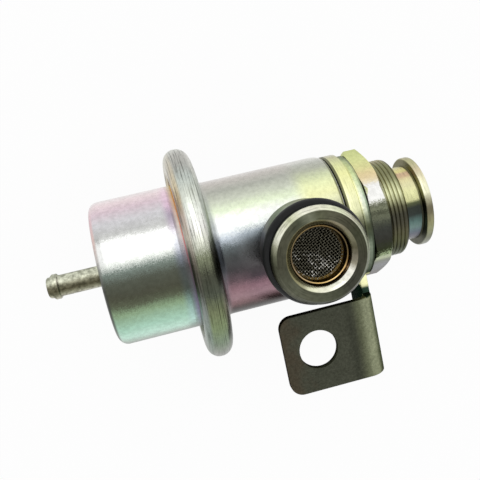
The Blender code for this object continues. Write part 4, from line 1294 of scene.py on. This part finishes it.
@dataclass
class OutletEnd:
    """Turned fitting with a cut thread, and the thin hexagon nut."""

    plug_start: float = 0.0285
    plug_radius: float = 0.01365
    socket_radius: float = 0.00452
    socket_end: float = 0.038
    shoulder_start: float = 0.0323
    shoulder_end: float = 0.0352
    shoulder_radius: float = 0.0148
    stub_end: float = 0.0466
    stub_radius: float = 0.0113
    thread_pitch: float = 0.00091
    thread_depth: float = 0.00018
    neck_radius: float = 0.0086
    neck_end: float = 0.05105
    end_radius: float = 0.0104
    outlet_end: float = 0.0528
    bore: float = 0.004
    nut_start: float = 0.0374
    nut_height: float = 0.0046
    across_flats: float = 0.026
    face_drop: float = 0.0006
    back_rise: float = 0.0012
    edge: float = 0.0003
    flange_edge: float = 0.0004
    root_gap: float = 0.00003
    fade: float = 0.0006

    def fitting(self) -> bpy.types.Object:
        """Builds the fitting up to the thread's root.

        Returns:
            The piece.
        """
        edge, curve = self.edge, self.flange_edge
        root = self.stub_radius - self.thread_depth - self.root_gap
        profile = Turning().to((self.plug_start, self.socket_radius), (self.plug_start, self.plug_radius))
        profile.to((self.shoulder_start, self.plug_radius))
        profile.to((self.shoulder_start, self.shoulder_radius - edge))
        profile.sweep(self.shoulder_start + edge, self.shoulder_radius - edge, edge, 180, 90, 3)
        profile.to((self.shoulder_end, self.shoulder_radius), (self.shoulder_end, self.stub_radius))
        profile.to((self.nut_start + 0.001, self.stub_radius), (self.nut_start + 0.001, root))
        profile.to((self.stub_end - edge, root), (self.stub_end, root - curve))
        profile.to((self.stub_end, self.neck_radius + edge))
        profile.sweep(self.stub_end + edge, self.neck_radius + edge, edge, 180, 270, 3)
        profile.sweep(self.neck_end - edge, self.neck_radius + edge, edge, 270, 360, 3)
        profile.to((self.neck_end, self.end_radius - curve))
        profile.sweep(self.neck_end + curve, self.end_radius - curve, curve, 180, 90, 4)
        profile.sweep(self.outlet_end - curve, self.end_radius - curve, curve, 90, 0, 4)
        profile.to((self.outlet_end, self.bore + 0.0006), (self.outlet_end - 0.0006, self.bore))
        profile.to((self.socket_end, self.bore), (self.socket_end, self.socket_radius))
        return loose_object("outlet_body", profile.mesh(BODY_AXIS, soft=0.00006))

    def thread(self) -> bpy.types.Object:
        """Cuts the thread as a ridge that winds along the stub and fades at its end.

        Returns:
            The piece.
        """
        per_turn = 96
        start = self.nut_start + self.nut_height - 1.3 * self.thread_pitch
        turns = math.ceil((self.stub_end - start) / self.thread_pitch) + 1
        root = self.stub_radius - self.thread_depth
        shoulder = root + 0.7 * self.thread_depth
        shares = ((0.0, root), (0.16, shoulder), (0.34, self.stub_radius), (0.58, self.stub_radius))
        shares += ((0.76, shoulder), (0.92, root), (1.0, root))
        bm = bmesh.new()
        corners = [bm.verts.new((start + share * self.thread_pitch, 0.0, radius)) for share, radius in shares]
        edges = [bm.edges.new(pair) for pair in zip(corners, corners[1:])]
        bmesh.ops.spin(
            bm, geom=corners + edges, cent=(0, 0, 0), axis=(1, 0, 0), angle=math.tau * turns,
            steps=per_turn * turns, dvec=(self.thread_pitch / per_turn, 0, 0), use_merge=False,
        )
        bmesh.ops.remove_doubles(bm, verts=bm.verts, dist=2e-6)
        whole = bm.verts[:] + bm.edges[:] + bm.faces[:]
        bmesh.ops.bisect_plane(
            bm, geom=whole, dist=1e-7, plane_co=(self.stub_end, 0, 0), plane_no=(1, 0, 0), clear_outer=True
        )
        for vertex in bm.verts:
            limit = self.stub_radius - 0.9 * max(0.0, vertex.co.x - (self.stub_end - self.fade))
            radius = math.hypot(vertex.co.y, vertex.co.z)
            if radius > limit:
                vertex.co.y *= limit / radius
                vertex.co.z *= limit / radius
        rim = [edge for edge in bm.edges if all(abs(v.co.x - self.stub_end) < 1e-6 for v in edge.verts)]
        closing = bmesh.ops.extrude_edge_only(bm, edges=rim)
        bmesh.ops.scale(bm, verts=new_corners(closing), vec=(1.0, 0.955, 0.955))
        bmesh.ops.recalc_face_normals(bm, faces=bm.faces)
        outward = sum((face.normal.y * face.calc_center_median().y for face in bm.faces))
        if outward < 0:
            bmesh.ops.reverse_faces(bm, faces=bm.faces)
        bm.transform(BODY_AXIS)
        return loose_object("stub_thread", bm)

    def nut(self) -> bpy.types.Object:
        """Builds the hexagon nut, bored and chamfered on its outer face.

        Returns:
            The piece.
        """
        corner = self.across_flats / math.sqrt(3)
        bm = bmesh.new()
        bmesh.ops.create_circle(bm, cap_ends=True, segments=6, radius=corner)
        lid = bmesh.ops.extrude_face_region(bm, geom=bm.faces[:])
        bmesh.ops.translate(bm, verts=new_corners(lid), vec=(0, 0, self.nut_height))
        bmesh.ops.recalc_face_normals(bm, faces=bm.faces)
        soften(bm, 0.00022)
        bm.transform(BODY_AXIS @ Matrix.Translation((self.nut_start, 0, 0)) @ Matrix.Rotation(math.pi / 2, 4, "Y"))
        made = loose_object("hexagon_nut", bm)
        end = self.nut_start + self.nut_height
        bore = self.stub_radius + 0.0002
        foot, head = self.nut_start - CLEARANCE, end + CLEARANCE
        hole = Turning().to((foot, 0.0), (foot, bore), (end - self.edge, bore))
        hole.to((head, bore + 0.0013), (head, 0.0))
        flat = self.across_flats / 2
        slope = math.tan(math.radians(30))
        wide = corner + CLEARANCE
        face = flat - self.face_drop
        cone = Turning().to((end - (wide - flat + self.face_drop) * slope, wide), (end, face))
        cone.to((end + 0.002, face), (end + 0.002, wide))
        rim = flat + self.back_rise
        back = Turning().to((self.nut_start + (wide - rim) * slope, wide), (self.nut_start, rim))
        back.to((self.nut_start - 0.002, rim), (self.nut_start - 0.002, wide))
        cut(made, *[shape.mesh(BODY_AXIS, soft=0.0) for shape in (hole, cone, back)])
        return made

    def build(self) -> None:
        """Builds and dresses fitting, thread and nut."""
        plate = OUTLET_PLATE.material()
        settle(self.fitting(), plate, "outlet_fitting")
        settle(self.thread(), plate, "outlet_fitting")
        settle(self.nut(), NUT_PLATE.material(), "clamp_nut")


@dataclass
class Bracket:
    """One folded sheet: ring leg, fold and tab with the bolt hole."""

    sheet: float = 0.0018
    leg_start: float = 0.0354
    ring_radius: float = 0.0141
    ring_bore: float = 0.0116
    back: float = 0.007
    rise: float = 0.0069
    top: float = 0.0181
    bottom: float = 0.037
    reach: float = 0.0234
    fold: float = 0.004
    tab_corner: float = 0.003
    hole_radius: float = 0.0045
    hole_place: float = 0.0219
    hole_drop: float = 0.02715
    edge: float = 0.00022

    def blank(self) -> bmesh.types.BMesh:
        """Draws the leg's outline and gives it the sheet's thickness.

        Returns:
            The leg, its inner face at x = 0.
        """
        front = self.rise - self.fold
        first = math.pi - math.asin(front / self.ring_radius)
        last = -math.pi + math.asin(self.back / self.ring_radius)
        steps = 96
        bm = bmesh.new()
        rim = []
        for step in range(steps + 1):
            angle = first + (last - first) * step / steps
            rim.append((self.ring_radius * math.cos(angle), self.ring_radius * math.sin(angle)))
        rim += [(-self.bottom, -self.back), (-self.bottom, front), (-self.top, front)]
        face = bm.faces.new([bm.verts.new((0.0, y, z)) for y, z in rim])
        far = bmesh.ops.extrude_face_region(bm, geom=[face])
        bmesh.ops.translate(bm, verts=new_corners(far), vec=(self.sheet, 0.0, 0.0))
        return bm

    def carry_on(self, bm: bmesh.types.BMesh, end: bmesh.types.BMFace) -> bmesh.types.BMFace:
        """Draws the sheet's end face out again.

        Args:
            bm: the mesh.
            end: the face that is its end so far.

        Returns:
            The new end, still in the old one's place.
        """
        made = bmesh.ops.extrude_face_region(bm, geom=[end])
        bmesh.ops.delete(bm, geom=[end], context="FACES_ONLY")
        return next(item for item in made["geom"] if isinstance(item, bmesh.types.BMFace))

    def build(self) -> None:
        """Folds, rounds and drills the sheet, and dresses it."""
        bm = self.blank()
        front = self.rise - self.fold
        ends = [face for face in bm.faces if abs(face.calc_center_median().z - front) < 1e-6]
        end = min(ends, key=lambda face: face.calc_center_median().y)
        steps = 16
        pivot = Vector((self.sheet - self.fold, 0.0, front))
        for _ in range(steps):
            end = self.carry_on(bm, end)
            turn = Matrix.Rotation(-math.pi / 2 / steps, 3, "Y")
            bmesh.ops.rotate(bm, verts=end.verts, cent=pivot, matrix=turn)
        end = self.carry_on(bm, end)
        bmesh.ops.translate(bm, verts=end.verts, vec=(self.fold - self.reach, 0.0, 0.0))
        bmesh.ops.recalc_face_normals(bm, faces=bm.faces)
        corners = [edge for edge in bm.edges if self.is_corner(edge)]
        bmesh.ops.bevel(
            bm, geom=corners, offset=self.tab_corner, segments=10, profile=0.5, affect="EDGES", material=-1
        )
        bmesh.ops.recalc_face_normals(bm, faces=bm.faces)
        soften(bm, self.edge, 60.0, 3)
        bm.transform(BODY_AXIS @ Matrix.Translation((self.leg_start, 0, 0)))
        made = loose_object("folded_bracket", bm)
        ring = plug(self.leg_start - CLEARANCE, self.leg_start + self.sheet + CLEARANCE, self.ring_bore)
        hole = plug(self.rise - self.sheet - CLEARANCE, self.rise + CLEARANCE, self.hole_radius)
        across = Matrix.Translation((self.hole_place, -self.hole_drop, 0)) @ Matrix.Rotation(-math.pi / 2, 4, "Y")
        cut(made, ring.mesh(BODY_AXIS, sides=128, soft=0.0), hole.mesh(BODY_AXIS @ across, sides=96, soft=0.0))
        self.break_rims(made)
        settle(made, BRACKET_PLATE.material(), "mounting_bracket")

    def break_rims(self, made: bpy.types.Object) -> None:
        """Rounds the bolt hole's two rims a little.

        Args:
            made: the drilled sheet.
        """
        centre = FLANGE + Vector((self.hole_place, -self.hole_drop, 0.0))
        levels = (centre.z + self.rise, centre.z + self.rise - self.sheet)
        bm = bmesh.new()
        bm.from_mesh(made.data)
        rims = []
        for edge in bm.edges:
            ends = [vertex.co - centre for vertex in edge.verts]
            on_rim = all(abs(math.hypot(end.x, end.y) - self.hole_radius) < 2e-5 for end in ends)
            if on_rim and any(all(abs(v.co.z - level) < 1e-5 for v in edge.verts) for level in levels):
                rims.append(edge)
        bmesh.ops.bevel(
            bm, geom=rims, offset=self.edge * 0.7, segments=2, profile=0.5, affect="EDGES", material=-1
        )
        bm.to_mesh(made.data)
        bm.free()
        smooth(made.data)

    def is_corner(self, edge: bmesh.types.BMEdge) -> bool:
        """Tells whether an edge is one of the blank's three free corners."""
        free = self.sheet - self.reach
        first, second = (vertex.co for vertex in edge.verts)
        at_tab = all(abs(co.x - free) < 1e-6 for co in (first, second)) and abs(first.y - second.y) < 1e-6
        at_back = all(abs(co.y + self.bottom) < 1e-6 and abs(co.z + self.back) < 1e-6 for co in (first, second))
        return at_tab or at_back


@dataclass
class InnerParts:
    """Parts inside the shells, which keep their solids and get their finishes."""

    steel: tuple[str, ...] = (
        "seat_tube", "main_spring", "spring_seat", "spring_cup", "lower_plate", "valve_holder", "valve_retainer",
    )
    hard: tuple[str, ...] = ("valve_seat", "valve_ball", "valve_disc")
    rubber: tuple[str, ...] = ("diaphragm",)

    def build(self, nodes: dict[str, bpy.types.Object]) -> None:
        """Dresses the inner nodes.

        Args:
            nodes: the frame's objects by name.
        """
        groups = ((self.steel, INNER_STEEL), (self.hard, HARD_STEEL), (self.rubber, DIAPHRAGM_RUBBER))
        for names, finish in groups:
            material = finish.material()
            for name in names:
                nodes[name].data.materials.clear()
                nodes[name].data.materials.append(material)
                LOG.info("%s keeps its solid", name)


@dataclass
class Studio:
    """Floor, white surround, soft lamps and the camera."""

    floor_level: float = FLOOR_LEVEL
    shadow_share: float = 0.06
    surround: float = 0.8
    camera_place: Vector = field(default_factory=lambda: Vector((-0.0306, 0.05865, 0.1487)))
    camera_right: Vector = field(default_factory=lambda: Vector((0.96539, -0.20687, 0.15882)))
    camera_up: Vector = field(default_factory=lambda: Vector((0.23223, 0.95899, -0.16251)))
    lens: float = 52.5

    @staticmethod
    def seen(tree: bpy.types.NodeTree) -> bpy.types.NodeSocket:
        """1 for rays from the camera, and for those that metal and glass send on.

        Args:
            tree: the node tree that gets the nodes.

        Returns:
            The switch.
        """
        path = tree.nodes.new("ShaderNodeLightPath")
        switch = path.outputs["Is Camera Ray"]
        for other in ("Is Glossy Ray", "Is Transmission Ray"):
            joined = tree.nodes.new("ShaderNodeMath")
            joined.operation = "MAXIMUM"
            tree.links.new(switch, joined.inputs[0])
            tree.links.new(path.outputs[other], joined.inputs[1])
            switch = joined.outputs[0]
        return switch

    def floor(self) -> None:
        """Lays the pale floor, which keeps a faint shadow."""
        bm = bmesh.new()
        bmesh.ops.create_grid(bm, x_segments=1, y_segments=1, size=3.0)
        bmesh.ops.translate(bm, verts=bm.verts, vec=(0, 0, self.floor_level))
        made = loose_object("floor", bm)
        material = bpy.data.materials.new("floor")
        material.use_nodes = True
        tree = material.node_tree
        tree.nodes.clear()
        glow = tree.nodes.new("ShaderNodeEmission")
        dull = tree.nodes.new("ShaderNodeBsdfDiffuse")
        dull.inputs["Color"].default_value = (0.9, 0.9, 0.9, 1.0)
        share = tree.nodes.new("ShaderNodeMath")
        share.operation = "MULTIPLY"
        share.inputs[1].default_value = 1.0 - self.shadow_share
        tree.links.new(self.seen(tree), share.inputs[0])
        mixed = tree.nodes.new("ShaderNodeMixShader")
        tree.links.new(share.outputs[0], mixed.inputs[0])
        tree.links.new(dull.outputs[0], mixed.inputs[1])
        tree.links.new(glow.outputs[0], mixed.inputs[2])
        out = tree.nodes.new("ShaderNodeOutputMaterial")
        tree.links.new(mixed.outputs[0], out.inputs["Surface"])
        made.data.materials.append(material)

    def world(self) -> None:
        """Sets the white surround."""
        world = bpy.data.worlds.new("surround")
        world.use_nodes = True
        tree = world.node_tree
        background = tree.nodes["Background"]
        background.inputs["Color"].default_value = (1.0, 1.0, 1.0, 1.0)
        level = tree.nodes.new("ShaderNodeMapRange")
        tree.links.new(self.seen(tree), level.inputs["Value"])
        level.inputs["To Min"].default_value = self.surround
        level.inputs["To Max"].default_value = 1.0
        tree.links.new(level.outputs[0], background.inputs["Strength"])
        bpy.context.scene.world = world

    def lamp(self, name: str, direction: Vector, distance: float, size: tuple[float, float], power: float) -> None:
        """Hangs a soft box that faces the part.

        Args:
            name: the lamp's name.
            direction: from the part to the lamp.
            distance: how far away it hangs.
            size: its width and height.
            power: its power in watts.
        """
        data = bpy.data.lights.new(name, "AREA")
        data.shape = "RECTANGLE"
        data.size, data.size_y = size
        data.energy = power
        made = bpy.data.objects.new(name, data)
        bpy.context.scene.collection.objects.link(made)
        place = PORT_CENTRE + direction.normalized() * distance
        made.matrix_world = Matrix.Translation(place) @ direction.to_track_quat("Z", "X").to_matrix().to_4x4()

    def camera(self) -> None:
        """Puts the camera at the photograph's place."""
        data = bpy.data.cameras.new("camera")
        data.lens = self.lens
        data.sensor_width = 36.0
        data.clip_start = 0.01
        data.clip_end = 20.0
        made = bpy.data.objects.new("camera", data)
        bpy.context.scene.collection.objects.link(made)
        right = self.camera_right.normalized()
        up = (self.camera_up - right * self.camera_up.dot(right)).normalized()
        columns = Matrix((right, up, right.cross(up))).transposed()
        made.matrix_world = Matrix.Translation(self.camera_place) @ columns.to_4x4()
        bpy.context.scene.camera = made

    def build(self) -> None:
        """Sets up the whole studio."""
        bpy.context.scene.view_settings.view_transform = "Standard"
        self.floor()
        self.world()
        self.lamp("key", Vector((-0.1, 0.68, 0.73)), 0.6, (0.55, 0.36), 0.38)
        self.lamp("fill", Vector((0.5, -0.6, 0.6)), 0.8, (0.4, 0.4), 0.12)
        self.camera()


def main() -> None:
    """Builds every sub-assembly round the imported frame."""
    logging.basicConfig(level=logging.INFO, format="%(name)s %(message)s")
    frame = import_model()
    Studio().build()
    VacuumEnd().build()
    Housing().build()
    SideInlet().build()
    OutletEnd().build()
    Bracket().build()
    InnerParts().build(frame["nodes"])


if __name__ == "__main__":
    main()
